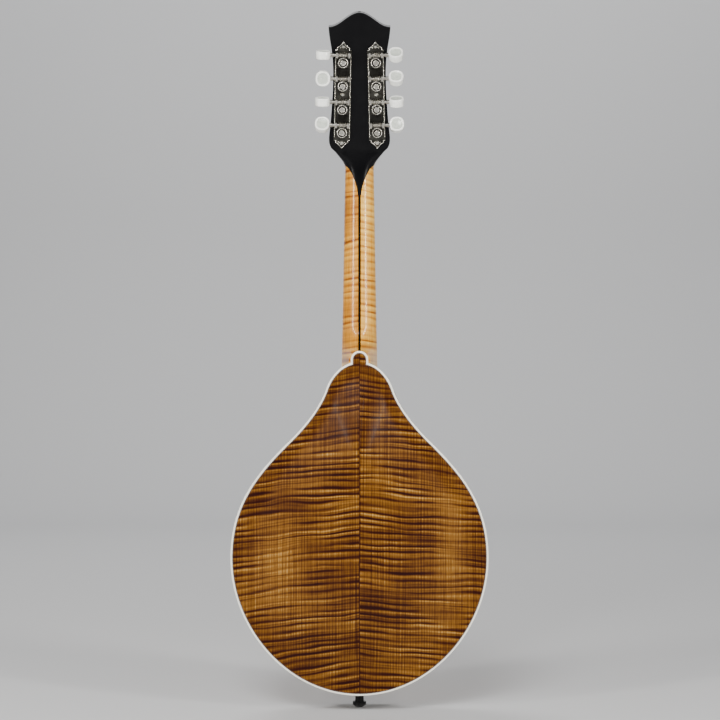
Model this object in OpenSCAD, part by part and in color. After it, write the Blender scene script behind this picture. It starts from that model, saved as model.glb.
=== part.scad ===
// Carved teardrop mandolin with eight strings, hung upright by its headstock.
// Millimetres. The origin is the middle of the neck at the nut, on the plane under the fingerboard.
// +Z runs up the neck, -Y comes out of the soundboard, +X is the treble side.

/* [Body] */
// Width across the lower bout
body_w = 254; // [240:1:260]
// Length of the body, without the heel button
body_len = 328.5; // [320:0.5:335]
// Depth of the sides between the two plates
rib_h = 36; // [30:1:40]
// Thickness of each carved plate at its edge
edge_t = 4.5; // [4:0.5:5.5]
// Rise of the soundboard arch above its edge
top_rise = 12.5; // [10:0.5:14]
// Rise of the back arch above its edge
back_rise = 12; // [10:0.5:14]
// Width of the binding seen from the front or back
bind_w = 2.6; // [2:0.1:3]
// Thickness of the bent sides
rib_t = 2; // [1.5:0.5:3]

/* [Neck] */
// Vibrating length of the strings
scale_len = 352.4; // [345:0.1:356]
// Fret at which the neck meets the body
joint_fret = 15; // [14:1:15]
// Lean of the neck behind the body's plane
neck_angle = 5; // [4:0.5:6]
// Width of the neck at the nut
nut_w = 28.6; // [28:0.1:30]
// Width of the neck at the body
heel_w = 36; // [34:0.5:38]
// Thickness of the neck's wood at the nut
neck_d = 14.6; // [14:0.1:15]
// Width of the dark strip down the middle of the neck
strip_w = 2.5; // [2:0.5:4]
// Thickness of the fingerboard
board_t = 5; // [4.5:0.5:6]
// Number of frets
fret_count = 22; // [20:1:23]

/* [Headstock] */
// Lean of the headstock behind the neck
head_angle = 12; // [10:1:14]
// Length of the headstock above the nut
head_len = 148.2; // [140:0.1:150]
// Thickness of the headstock with both veneers
head_t = 14; // [13:0.5:15]
// Distance between neighbouring string posts
post_pitch = 23; // [22.8:0.1:23.2]
// Teeth on each cog
cog_teeth = 14; // [14:1:14]

/* [Bridge and tailpiece] */
// Length of the bridge foot
bridge_len = 111; // [100:1:115]
// Distance of each height wheel from the middle
wheel_x = 33; // [30:1:36]
// Length of the tailpiece cover
cover_len = 72; // [65:1:80]

/* [Hidden] */
$fn = 48;
BASS = -1;
TREBLE = 1;
far = 400;

// ---- where the main planes lie -------------------------------------------------------------
function fret_pos(n) = scale_len * (1 - pow(2, -n / 12));
joint_v = 322;                                    // height of the neck joint above the tail
joint_z = -fret_pos(joint_fret) * cos(neck_angle);
tail_z = joint_z - joint_v * body_len / 328.5;
crown_z = tail_z + body_len;                      // top of the body's shoulder
top_y = -10;                                      // outer face of the soundboard's edge
rib_front = top_y + edge_t;
rib_back = rib_front + rib_h;
back_y = rib_back + edge_t;                       // outer face of the back's edge
button_r = 8.6;                                   // heel button
button_z = crown_z + 2;

// ---- small maths -----------------------------------------------------------------------------
function lerp(a, b, t) = a + (b - a) * t;
function clamp01(t) = min(1, max(0, t));
function smooth(t) = let (c = clamp01(t)) c * c * (3 - 2 * c);
function cross2(a, b) = a[0] * b[1] - a[1] * b[0];
function bezier(p, t) = pow(1 - t, 3) * p[0] + 3 * pow(1 - t, 2) * t * p[1]
    + 3 * (1 - t) * t * t * p[2] + pow(t, 3) * p[3];
function reversed(l) = [for (i = [len(l) - 1 : -1 : 0]) l[i]];
function rotx(p, a) = [p[0], p[1] * cos(a) - p[2] * sin(a), p[1] * sin(a) + p[2] * cos(a)];
function roty(p, a) = [p[0] * cos(a) + p[2] * sin(a), p[1], -p[0] * sin(a) + p[2] * cos(a)];

// Solid whose sections are the closed loops of points in "loops", one after another
module loft(loops) {
    k = len(loops[0]);
    n = len(loops);
    polyhedron(
        points = [for (l = loops) each l],
        faces = concat(
            [[for (j = [0 : k - 1]) j]],
            [for (i = [0 : n - 2], j = [0 : k - 1])
                [i * k + j, (i + 1) * k + j, (i + 1) * k + (j + 1) % k]],
            [for (i = [0 : n - 2], j = [0 : k - 1])
                [i * k + j, (i + 1) * k + (j + 1) % k, i * k + (j + 1) % k]],
            [[for (j = [k - 1 : -1 : 0]) (n - 1) * k + j]]));
}
// Extrudes a shape drawn in X and Z from y = y1 to y = y2
module slab(y1, y2) {
    translate([0, y2, 0]) rotate([90, 0, 0]) linear_extrude(height = y2 - y1) children();
}
module ycyl(r, y1, y2) {
    translate([0, y1, 0]) rotate([-90, 0, 0]) cylinder(r = r, h = y2 - y1);
}
module xcyl(r, x1, x2) {
    translate([min(x1, x2), 0, 0]) rotate([0, 90, 0]) cylinder(r = r, h = abs(x2 - x1));
}
module box(a, b) {
    translate(a) cube(b - a);
}

// ---- body outline ------------------------------------------------------------------------------
// One side, as four curves from the tail, round the lower bout and up the shoulder to the neck
OUTLINE = [
    [[0, 0], [70, 0], [127, 65], [127, 135.5]],
    [[127, 135.5], [127, 186.5], [103, 217], [70, 249.5]],
    [[70, 249.5], [62.3, 257], [42.3, 277], [33.5, 300]],
    [[33.5, 300], [30, 311.5], [19, 328.5], [0, 328.5]]];
OUTLINE_STEPS = [12, 9, 5, 7];
function place_outline(p) = [p[0] * body_w / 254, tail_z + p[1] * body_len / 328.5];
side_line = concat(
    [for (s = [0 : 3], i = [0 : OUTLINE_STEPS[s] - 1])
        place_outline(bezier(OUTLINE[s], i / OUTLINE_STEPS[s]))],
    [place_outline([0, 328.5])]);
side_last = len(side_line) - 1;
function mirrored(p) = [-p[0], p[1]];
// The side line moved inwards by d, its two ends staying on the centre line
function inset_side(d) = [for (i = [0 : side_last])
    let (a = i == 0 ? mirrored(side_line[1]) : side_line[i - 1],
        b = i == side_last ? mirrored(side_line[side_last - 1]) : side_line[i + 1],
        t = (b - a) / norm(b - a))
    side_line[i] + d * [-t[1], t[0]]];
function closed(side) = concat(side, [for (i = [side_last - 1 : -1 : 1]) mirrored(side[i])]);
module body_shape(inset) {
    polygon(closed(inset_side(inset)));
}
module button_shape(inset) {
    translate([0, button_z]) circle(r = button_r - inset);
    translate([inset - button_r, crown_z - 6]) square([2 * (button_r - inset), 8]);
}
module half_plane(side) {
    translate([side > 0 ? 0 : -far, -far * 2]) square([far, far * 3]);
}

// ---- carved plates -----------------------------------------------------------------------------
// u runs from 0 at the edge to 1 on a spine up the middle of the body
U_STEPS = [0, 0.05, 0.1, 0.16, 0.24, 0.34, 0.46, 0.6, 0.78, 1];
land_u = 0.1;
spine = [[0, tail_z + 118], [0, tail_z + 232]];
plate_side = inset_side(bind_w);
function spine_at(i) = lerp(spine[0], spine[1], i / side_last);
function arch(u, rise) = rise * (1 - cos(180 * pow(clamp01((u - land_u) / (1 - land_u)), 0.75))) / 2
    - 0.5 * sin(180 * clamp01(u / 0.24));
function plate_thickness(u) = lerp(3.2, 4.6, smooth(u / 0.8));
function inner_arch(u, rise) = u <= land_u ? -edge_t : arch(u, rise) - plate_thickness(u);
// Share of a line from the edge to the spine that lies on the heel button, where the plate is flat
function on_button(o, c) = let (d = o[1] - crown_z + bind_w + 0.3) d > 0 ? d / (o[1] - c[1]) : 0;
function plate_loop(o, c, rise) = let (f = on_button(o, c)) concat(
    [for (u = U_STEPS) let (p = lerp(o, c, u), t = clamp01((u - f) / (1 - f)))
        [p[0], arch(t, rise), p[1]]],
    [for (u = reversed(U_STEPS)) let (p = lerp(o, c, u), t = clamp01((u - f) / (1 - f)))
        [p[0], inner_arch(t, rise), p[1]]]);
// The treble half of a plate inside the edge line "side", its arch rising towards +Y from y = 0
module half_plate(side, rise) {
    n = len(side) - 1;
    loft([for (i = [0 : n]) plate_loop(side[i], lerp(spine[0], spine[1], i / n), rise)]);
}
// The back's edge line runs on round the heel button
heel_r = button_r - bind_w;
heel_corner = [for (i = [1 : side_last]) let (p = plate_side[i - 1], q = plate_side[i])
    if (p[0] > heel_r && q[0] <= heel_r) lerp(p, q, (p[0] - heel_r) / (p[0] - q[0]))];
heel_side = concat([for (p = plate_side) if (p[0] > heel_r + 0.4 || p[1] < tail_z + 99) p],
    heel_corner, [for (a = [0 : 15 : 90]) [heel_r * cos(a), button_z + heel_r * sin(a)]]);
// How far in from the edge a point of the plan lies, as u
function ray(i, p) = cross2(plate_side[i] - spine_at(i), p - spine_at(i));
function plate_u(x, z) =
    let (p = [abs(x) + 0.001, z],
        hits = [for (i = [0 : side_last - 1]) if (ray(i, p) >= 0 && ray(i + 1, p) < 0) i],
        i = hits[0],
        t = ray(i, p) / (ray(i, p) - ray(i + 1, p)),
        o = lerp(plate_side[i], plate_side[i + 1], t),
        c = lerp(spine_at(i), spine_at(i + 1), t))
    1 - norm(p - c) / norm(o - c);
function top_surface(x, z) = top_y - arch(plate_u(x, z), top_rise);
function top_inside(x, z) = top_y - inner_arch(plate_u(x, z), top_rise);

// Middle line of one sound hole, [x, height above the tail], and its stroke
HOLE_LINE = [
    [[56, 212], [54, 233], [73, 234], [71, 206]],
    [[71, 206], [70, 190], [74, 166], [73, 149]],
    [[73, 149], [71, 121], [91, 120], [90, 140]]];
hole_steps = 7;
hole_points = [for (s = [0 : 2], i = [0 : hole_steps - 1]) bezier(HOLE_LINE[s], i / hole_steps)];
module hole_dot(i) {
    n = len(hole_points) - 1;
    translate(hole_points[i] + [0, tail_z]) circle(r = 1 + 2.1 * pow(sin(180 * i / n), 1.5), $fn = 16);
}
module sound_hole() {
    slab(-60, 10) {
        for (i = [0 : len(hole_points) - 2]) hull() {
            hole_dot(i);
            hole_dot(i + 1);
        }
        for (p = [HOLE_LINE[0][0], HOLE_LINE[2][3]])
            translate(p + [0, tail_z]) circle(r = 3.4, $fn = 24);
        translate([71.5, tail_z + 176]) rotate(12) square([9, 1.2], center = true);
    }
}
module top_plate() {
    color("goldenrod") difference() {
        for (m = [0, 1]) mirror([m, 0, 0]) translate([0, top_y, 0]) mirror([0, 1, 0])
            half_plate(plate_side, top_rise);
        for (m = [0, 1]) mirror([m, 0, 0]) sound_hole();
    }
}
module back_plate(side) {
    color("peru") mirror([side > 0 ? 0 : 1, 0, 0]) translate([0, back_y, 0])
        half_plate(heel_side, back_rise);
}

// ---- sides, blocks, linings and bars -------------------------------------------------------------
dovetail_l = 16;
module dovetail_shape(gap) {
    polygon([[-6 - gap, crown_z + 1], [6 + gap, crown_z + 1],
        [9 + gap, crown_z - dovetail_l - gap], [-9 - gap, crown_z - dovetail_l - gap]]);
}
module ribs() {
    color("saddlebrown") difference() {
        slab(rib_front, rib_back) difference() {
            body_shape(0);
            body_shape(rib_t);
            dovetail_shape(0.2);
            translate([-0.05, tail_z - 1]) square([0.1, 10]);
        }
        translate([0, pin_y, tail_z - 5]) cylinder(r = 4.05, h = 12);
    }
}
module neck_block() {
    color("burlywood") slab(rib_front, rib_back) difference() {
        intersection() {
            body_shape(rib_t);
            translate([-far / 2, crown_z - 48]) square([far, 60]);
        }
        dovetail_shape(0.2);
    }
}
pin_y = 12;                                       // height of the end pin between the plates
module tail_block() {
    color("burlywood") difference() {
        slab(rib_front, rib_back) intersection() {
            body_shape(rib_t);
            translate([-36, tail_z]) square([72, 24]);
        }
        translate([0, pin_y, tail_z - 1]) cylinder(r = 4.05, h = 40);
    }
}
lining_w = 6;
lining_h = 7;
module kerfed_linings() {
    color("wheat") for (y = [rib_front, rib_back - lining_h], side = [BASS, TREBLE])
        slab(y, y + lining_h) intersection() {
            difference() {
                body_shape(rib_t);
                body_shape(rib_t + lining_w);
            }
            polygon([[side * 3, tail_z + 24.2], [side * far, tail_z + 24.2],
                [side * far, crown_z - 48.2], [side * 3, crown_z - 48.2]]);
            difference() {
                half_plane(side);
                translate([-36.2, tail_z]) square([72.4, 24.2]);
            }
        }
}
BAR_X = [[-24, -37], [21, 33]];                   // each bar's place at its upper and lower end
bar_top = tail_z + 262;
bar_foot = tail_z + 62;
bar_steps = 10;
module tone_bars() {
    color("wheat") for (b = BAR_X) loft([for (i = [0 : bar_steps])
        let (t = i / bar_steps, x = lerp(b[1], b[0], t), z = lerp(bar_foot, bar_top, t),
            y = max(top_inside(x - 3, z), top_inside(x + 3, z)) + 0.25,
            h = 1.5 + 6.5 * sin(180 * clamp01(t * 0.9 + 0.05)))
        [[x - 3, y, z], [x + 3, y, z], [x + 1.2, y + h, z], [x - 1.2, y + h, z]]]);
}
module binding_ring(y1, y2, with_button) {
    slab(y1, y2) difference() {
        union() {
            body_shape(0);
            if (with_button) button_shape(0);
        }
        body_shape(bind_w);
        if (with_button) button_shape(bind_w);
    }
}
module body_binding() {
    color("ivory") {
        binding_ring(top_y, rib_front, false);
        binding_ring(rib_back, back_y, true);
    }
}

// ---- neck frames -----------------------------------------------------------------------------------
nut_t = 4.5;                                      // thickness of the nut
head_y = -1.5;                                    // the headstock's face at the nut
face_t = 2;                                       // front veneer
strap_t = 2;                                      // black veneer on the back of the headstock
function neck_pt(p) = rotx(p, -neck_angle);
function head_pt(p) = neck_pt(rotx(p, -head_angle) + [0, head_y, nut_t]);
module neck_frame() rotate([-neck_angle, 0, 0]) children();
module head_frame() neck_frame() translate([0, head_y, nut_t]) rotate([-head_angle, 0, 0])
    children();

// ---- neck -----------------------------------------------------------------------------------------
joint_l = fret_pos(joint_fret);
heel_start = -162;                                // where the heel begins to sweep back
heel_end = -184.8;                                // tip of the heel
function board_half(z) = lerp(nut_w, heel_w, clamp01(-z / joint_l)) / 2
    + (z < -joint_l ? (-z - joint_l) * (heel_w - nut_w) / joint_l / 2 : 0);
function heel_t(z) = clamp01((heel_start - z) / (heel_start - heel_end));
// Plan half-width of the wood, back half-width of the heel, and depth of the section at z
function half_width(z) = z < -4 ? board_half(z) : nut_w / 2 + 15.8 * smooth((z + 4) / 28);
function heel_half(z) = z > heel_end ? 0 : sqrt(max(0.1,
    pow(button_r, 2) - pow(min(0, heel_end - button_r - z) < 0 ? z - heel_end + button_r : 0, 2)));
function head_back(z) = head_y + head_t / cos(head_angle) + (z - nut_t) * tan(head_angle);
function soft_max(a, b, k) = (a + b + sqrt(pow(a - b, 2) + k * k)) / 2;
function depth(z) = z > heel_start
    ? soft_max(neck_d + clamp01(-z / 160) * 3, head_back(z), 1.8 * clamp01((12 - z) / 12))
    : neck_d + 3 + 38 * (1 - sqrt(max(0, 1 - pow(heel_t(z), 2))));
function front(z) = z <= nut_t ? 0 : (z - nut_t) * tan(head_angle) + head_y + face_t / cos(head_angle);
// Roundness of the section: 1 is an ellipse, near 0 is square, near 2 is a wedge
function side_power(z) = z > -14 ? lerp(1, 0.3, smooth((z + 14) / 27)) : lerp(1, 1.7, heel_t(z));
function back_power(z) = z > -14 ? lerp(1, 0.2, smooth((z + 14) / 27)) : lerp(1, 1.9, heel_t(z));
function section_pt(z, phi) = [
    heel_half(z) + (half_width(z) - heel_half(z)) * pow(cos(phi), side_power(z)),
    front(z) + (depth(z) - front(z)) * pow(sin(phi), back_power(z))];
// Angle at which a section is x from the middle
function phi_at(z, x) = acos(pow(clamp01((x - heel_half(z)) / (half_width(z) - heel_half(z))),
    1 / side_power(z)));
// The black veneer on the headstock's back runs down on to the neck as a point
dart_tip = -30;
function dart_half(z) = min(0.985 * half_width(z), strip_w / 2 + 0.5
    + 13.3 * pow(max(0, z - dart_tip) / 33, 1.75) + 2.4 * smooth((z + 5) / 6) + max(0, z));
function strap_drop(z) = z < dart_tip ? 0.05 : 0.3 + (strap_t - 0.3) * smooth((z - dart_tip) / 12);
HEEL_Z = [-206, -201, -197, -193.5, -190.5, -188, -186.4, heel_end, -183, -180, -176, -171,
    -166, heel_start, -150, -120, -85, -55, dart_tip - 0.5];
DART_Z = [dart_tip, -27, -24, -21, -18, -15, -12, -9, -6, -3, 0, 2.2, 4.4, 4.6, 7, 9.5, 12];
NECK_Z = concat(HEEL_Z, DART_Z);
dart_columns = 3;
side_columns = 7;
w_strip = strip_w / 2;
// Angles on the section where the veneer's inner and outer edges lie
function inner_phi(z) = phi_at(z, max(w_strip + 0.25, heel_half(z)));
function outer_phi(z) = z < dart_tip ? inner_phi(z) - 2 : max(9, phi_at(z, dart_half(z)));
function back_at(z, x) = heel_half(z) >= x ? depth(z) : section_pt(z, phi_at(z, x))[1];
function across(z, phi_a, phi_b, n, drop) = [for (j = [0 : n])
    let (p = section_pt(z, lerp(phi_a, phi_b, j / n))) [p[0], p[1] - drop, z]];
function neck_loop(z) = concat(
    [[w_strip, front(z), z], [w_strip, back_at(z, w_strip) - strap_drop(z), z]],
    across(z, inner_phi(z), outer_phi(z), dart_columns, strap_drop(z)),
    across(z, outer_phi(z), 0, side_columns, 0));
// One side of the headstock's outline, from its shoulder to its peak
HEAD_SIDE = [[30.2, 23], [30.1, 27], [28.8, 38], [27.5, 54], [26.4, 70], [25.8, 88], [26.2, 102],
    [27.3, 112.5], [29.4, 126], [30.2, 134.3]];
function crest(x) = 134.3 + (head_len - 134.3) * (1 + cos(180 * min(1, x / 29.8))) / 2;
head_side = concat([for (z = [0.3, 3, 6, 9, 12, 15, 18]) [half_width(3 + 0.98 * z), z]], HEAD_SIDE,
    [for (x = [27 : -3 : 0]) [x, crest(x)]]);
// Rows of half-width and height along the headstock, above the neck's own sections
HEAD_ROWS = concat([for (z = [15, 18]) [half_width(3 + 0.98 * z), z]], HEAD_SIDE,
    [for (x = [27 : -3 : 3]) [x, crest(x)]], [[1.6, crest(1.6)]]);
core_back = head_t - strap_t;
function head_to_neck(p) = rotx(p, -head_angle) + [0, head_y, nut_t];
function veneer_x(half, j) = lerp(w_strip, half, 0.1 + 0.3 * j);
function head_loop(row) = [for (p = concat([[w_strip, face_t], [w_strip, core_back]],
    [for (j = [0 : dart_columns]) [veneer_x(row[0], j), core_back]],
    [for (j = [0 : side_columns]) [row[0], lerp(core_back - 0.1, face_t, j / side_columns)]]))
    head_to_neck([p[0], p[1], row[1]])];
module neck_loft() {
    loft(reversed(concat([for (z = NECK_Z) neck_loop(z)], [for (row = HEAD_ROWS) head_loop(row)])));
}
module head_shape() {
    polygon(concat(head_side, [for (i = [len(head_side) - 2 : -1 : 0]) mirrored(head_side[i])]));
}
module at_posts(side) {
    for (k = [0 : 3]) tuner_frame(side, k) children();
}
rod_y = 4.5;
module rod_channel() {
    neck_frame() box([-2.6, -1, -190], [2.6, 7.5, 12]);
    head_frame() box([-4.5, -1, 2], [4.5, 7.4, 26]);
}
module neck_side(side) {
    color("peru") difference() {
        union() {
            neck_frame() mirror([side > 0 ? 0 : 1, 0, 0]) neck_loft();
            slab(rib_front + 0.2, rib_back - 0.2) intersection() {
                dovetail_shape(0);
                translate([side > 0 ? strip_w / 2 : -30 - strip_w / 2, crown_z - 30])
                    square([30, 40]);
            }
        }
        difference() {
            slab(top_y, back_y + 40) body_shape(-0.1);
            slab(rib_front, rib_back) dovetail_shape(0.1);
        }
        box([-60, rib_back, -230], [60, 200, -150]);
        box([-60, -60, -400], [60, 60, joint_z - 1]);
        rod_channel();
        for (k = [0 : 3]) tuner_frame(side, k) {
            ycyl(3.3, -head_t - 1, 1);
            ycyl(bushing_r + 0.02, -head_t - 1, bushing_d - head_t);
        }
    }
}
STRIP_BACK = [for (z = NECK_Z) [back_at(z, w_strip) - strap_drop(z), z]];
STRIP_HEAD = [for (q = [[core_back, 15], [core_back, head_len - 0.3], [face_t, head_len - 0.3]])
    let (p = head_to_neck([0, q[0], q[1]])) [p[1], p[2]]];
module neck_centre_strip() {
    w = w_strip;
    color("black") difference() {
        union() {
            neck_frame() rotate([90, 0, 90]) translate([0, 0, -w]) linear_extrude(height = strip_w)
                polygon(concat([[0, NECK_Z[0]]], STRIP_BACK, STRIP_HEAD,
                    [[front(4.6), 4.6], [0, 4.4]]));
            box([-w, rib_front + 0.2, crown_z - dovetail_l], [w, rib_back - 0.2, crown_z + 1]);
        }
        difference() {
            slab(top_y, back_y + 40) body_shape(-0.1);
            slab(rib_front, rib_back) dovetail_shape(0.1);
        }
        box([-60, rib_back, -230], [60, 200, -150]);
        box([-60, -60, -400], [60, 60, joint_z - 1]);
        rod_channel();
    }
}
// The veneer on the back of the headstock, with the point that runs down the neck
function strap_half(z, drop) = concat([[0, back_at(z, w_strip) - drop, z]],
    across(z, inner_phi(z), outer_phi(z), dart_columns, drop));
function strap_row(z, drop) = let (h = strap_half(z, drop), n = len(h) - 1) concat(
    [for (j = [n : -1 : 1]) [-h[j][0], h[j][1], z]], h);
function strap_loop(z) = concat(strap_row(z, 0), reversed(strap_row(z, strap_drop(z))));
function strap_head_row(row, y) = let (h = [for (j = [0 : dart_columns]) veneer_x(row[0], j)])
    [for (x = concat(-reversed(h), [0], h)) head_to_neck([x, y, row[1]])];
function strap_head_loop(row) = concat(strap_head_row(row, head_t),
    reversed(strap_head_row(row, core_back)));
module headstock_backstrap() {
    color("black") difference() {
        neck_frame() loft(reversed(concat([for (z = DART_Z) strap_loop(z)],
            [for (row = HEAD_ROWS) strap_head_loop(row)])));
        for (side = [BASS, TREBLE]) at_posts(side) ycyl(3.3, -head_t - 1, 1);
    }
}
module headstock_face() {
    color("black") head_frame() difference() {
        slab(0, face_t) head_shape();
        box([-4.5, -1, 2], [4.5, 3, 26]);
        for (side = [BASS, TREBLE], k = [0 : 3]) translate(post_place(side, k))
            ycyl(bushing_r + 0.02, -30, 30);
    }
}
module truss_rod() {
    color("silver") {
        neck_frame() translate([0, rod_y, -188]) cylinder(r = 2, h = 196);
        head_frame() translate([0, 3.6, 7]) cylinder(r = 3.4, h = 11, $fn = 6);
    }
}
module truss_rod_cover() {
    color("black") head_frame() difference() {
        slab(-1.5, 0) hull() {
            translate([-5.5, 5]) circle(r = 2.5);
            translate([5.5, 5]) circle(r = 2.5);
            translate([0, 30]) circle(r = 3.4);
        }
        for (p = COVER_SCREWS) translate([p[0], 0, p[1]]) ycyl(0.9, -3, 3);
    }
}
COVER_SCREWS = [[0, 30.5], [0, 4.2]];

// ---- nut, fingerboard and frets ---------------------------------------------------------------------
nut_h = 7.4;
NUT_X = [-11.4, -9.4, -4.4, -2.4, 2.4, 4.4, 9.4, 11.4];
SADDLE_X = [-20.6, -18.3, -7.6, -5.3, 5.3, 7.6, 18.3, 20.6];
STRING_R = [0.51, 0.51, 0.33, 0.33, 0.19, 0.19, 0.14, 0.14];
nut_top = -board_t - 1.5;                         // underside of the strings at the nut
nut_play = 0.14;                                  // room round each string in its slot
module nut() {
    color("ivory") neck_frame() difference() {
        box([-nut_w / 2, -nut_h, 0], [nut_w / 2, -0.02, nut_t - 0.05]);
        for (i = [0 : 7]) translate([NUT_X[i], nut_top - STRING_R[i] + 0.1, -1])
            cylinder(r = STRING_R[i] + nut_play, h = 8);
        for (i = [0 : 7]) box([NUT_X[i] - STRING_R[i] - nut_play, -nut_h - 1, -1],
            [NUT_X[i] + STRING_R[i] + nut_play, nut_top - STRING_R[i] + 0.1, 8]);
    }
}
board_end = -fret_pos(fret_count) - 4;
board_bind = 1.4;
module board_shape(inset) {
    polygon([[-board_half(0) + inset, 0], [board_half(0) - inset, 0],
        [board_half(board_end) - inset, board_end + 4 + inset],
        [board_half(board_end) - inset - 5, board_end + inset],
        [-board_half(board_end) + inset + 5, board_end + inset],
        [-board_half(board_end) + inset, board_end + 4 + inset]]);
}
DOT_FRETS = [5, 7, 10, 15, 17];
dot_r = 2.2;
module dots(r, t) {
    neck_frame() {
        for (f = DOT_FRETS) translate([0, 0, -(fret_pos(f) + fret_pos(f - 1)) / 2])
            ycyl(r, -board_t, t - board_t);
        for (x = [-6.9, 6.9]) translate([x, 0, -(fret_pos(12) + fret_pos(11)) / 2])
            ycyl(r, -board_t, t - board_t);
    }
}
module side_dots(r, l) {
    neck_frame() for (f = concat(DOT_FRETS, [12]))
        let (z = -(fret_pos(f) + fret_pos(f - 1)) / 2)
        translate([-board_half(z), -board_t / 2, z]) xcyl(r, 0.2, l);
}
module fingerboard() {
    color("black") difference() {
        neck_frame() slab(-board_t, 0) board_shape(board_bind);
        dots(dot_r, 1.2);
    }
}
module fingerboard_binding() {
    color("ivory") difference() {
        neck_frame() slab(-board_t, 0) difference() {
            board_shape(0);
            board_shape(board_bind);
            translate([-50, 0.01]) square([100, 10]);
        }
        side_dots(0.75, 1.2);
    }
}
module frets() {
    color("silver") neck_frame() for (f = [1 : fret_count]) {
        z = -fret_pos(f);
        w = board_half(z) - 0.4;
        translate([-w, -board_t, z]) rotate([90, 0, 90]) linear_extrude(height = 2 * w)
            polygon([[0, -0.9], [-0.45, -0.85], [-0.85, -0.5], [-1, 0], [-0.85, 0.5],
                [-0.45, 0.85], [0, 0.9]]);
    }
}
module position_dots() {
    color("white") {
        dots(dot_r, 1.2);
        side_dots(0.75, 1.2);
    }
}
module fingerboard_support() {
    color("peru") difference() {
        neck_frame() slab(0, 3.4) polygon([
            [-board_half(-joint_l) + 1, -joint_l + 4], [board_half(-joint_l) - 1, -joint_l + 4],
            [board_half(board_end) - 6, board_end + 8],
            [-board_half(board_end) + 6, board_end + 8]]);
        box([-60, -60, joint_z - 1.1], [60, 60, 0]);
    }
}

// ---- bridge ------------------------------------------------------------------------------------------
action = 3.3;                                     // strings above the frets' line, at the bridge
saddle_pt = neck_pt([0, -board_t - 1 - action, -scale_len]);
bridge_z = saddle_pt[2];
saddle_top = saddle_pt[1];
base_top = top_y - top_rise - 6;
wheel_y = base_top - 1.8;                         // underside of the height wheels
wheel_t = 2.2;
foot_steps = 16;
function foot_z(side) = bridge_z + side * 6;
module bridge_base() {
    l = bridge_len / 2;
    color("black") difference() {
        loft([for (i = [0 : foot_steps])
            let (x = lerp(-l, l, i / foot_steps), c = abs(x) / l,
                yl = min(top_surface(x, foot_z(-1)), top_surface(x, foot_z(1))) - 0.2,
                yt = c > 0.72 ? lerp(base_top, yl - 1.2, smooth((c - 0.72) / 0.28)) : base_top)
            [[x, yl, foot_z(1)], [x, yt + 0.8, foot_z(1) - 0.6], [x, yt, foot_z(1) - 2],
                [x, yt, foot_z(-1) + 2], [x, yt + 0.8, foot_z(-1) + 0.6], [x, yl, foot_z(-1)]]]);
        for (x = [-wheel_x, wheel_x]) translate([x, base_top - 1, bridge_z]) ycyl(1.62, 0, 5);
    }
}
module bridge_posts() {
    color("gold") for (x = [-wheel_x, wheel_x]) translate([x, 0, bridge_z])
        ycyl(1.6, base_top - 8.5, base_top + 3.8);
}
module bridge_wheel(side) {
    color("gold") translate([side * wheel_x, 0, bridge_z]) difference() {
        slab(wheel_y - wheel_t, wheel_y) difference() {
            circle(r = 6.4);
            for (a = [0 : 15 : 345]) rotate(a) translate([6.5, 0]) circle(r = 0.35, $fn = 16);
        }
        ycyl(1.68, -60, 0);
    }
}
module bridge_saddle() {
    y0 = wheel_y - wheel_t - 0.1;
    top = saddle_top + 0.02;
    color("black") difference() {
        translate([-48, 0, bridge_z]) rotate([90, 0, 90]) linear_extrude(height = 96)
            polygon([[y0, -3.2], [y0, 3.2], [lerp(y0, top, 0.45), 3], [top + 0.35, 0.9],
                [top - 0.4, 0.5], [top - 0.4, -0.5], [top + 0.35, -0.9],
                [lerp(y0, top, 0.45), -3]]);
        for (s = [-1, 1]) translate([s * 48, 0, 0]) rotate([0, 0, s * 30])
            box([-6, saddle_top - 12, -far], [6, saddle_top + 3.2, 0]);
        for (x = [-wheel_x, wheel_x]) translate([x, 0, bridge_z]) ycyl(1.75, y0 - 6.2, 0);
        for (i = [0 : 7]) translate([SADDLE_X[i], saddle_top - STRING_R[i] - 0.1, bridge_z - 6])
            cylinder(r = STRING_R[i] + 0.2, h = 12, $fn = 24);
        for (i = [0 : 7]) box([SADDLE_X[i] - STRING_R[i] - 0.2, saddle_top - 3, bridge_z - 6],
            [SADDLE_X[i] + STRING_R[i] + 0.2, saddle_top - STRING_R[i] - 0.1, bridge_z + 6]);
        for (x = [-13, 0, 13]) translate([x, 0, bridge_z]) hull() for (s = [-1, 1])
            translate([s * 3, y0, -6]) cylinder(r = 1.4, h = 12, $fn = 24);
    }
}

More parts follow.
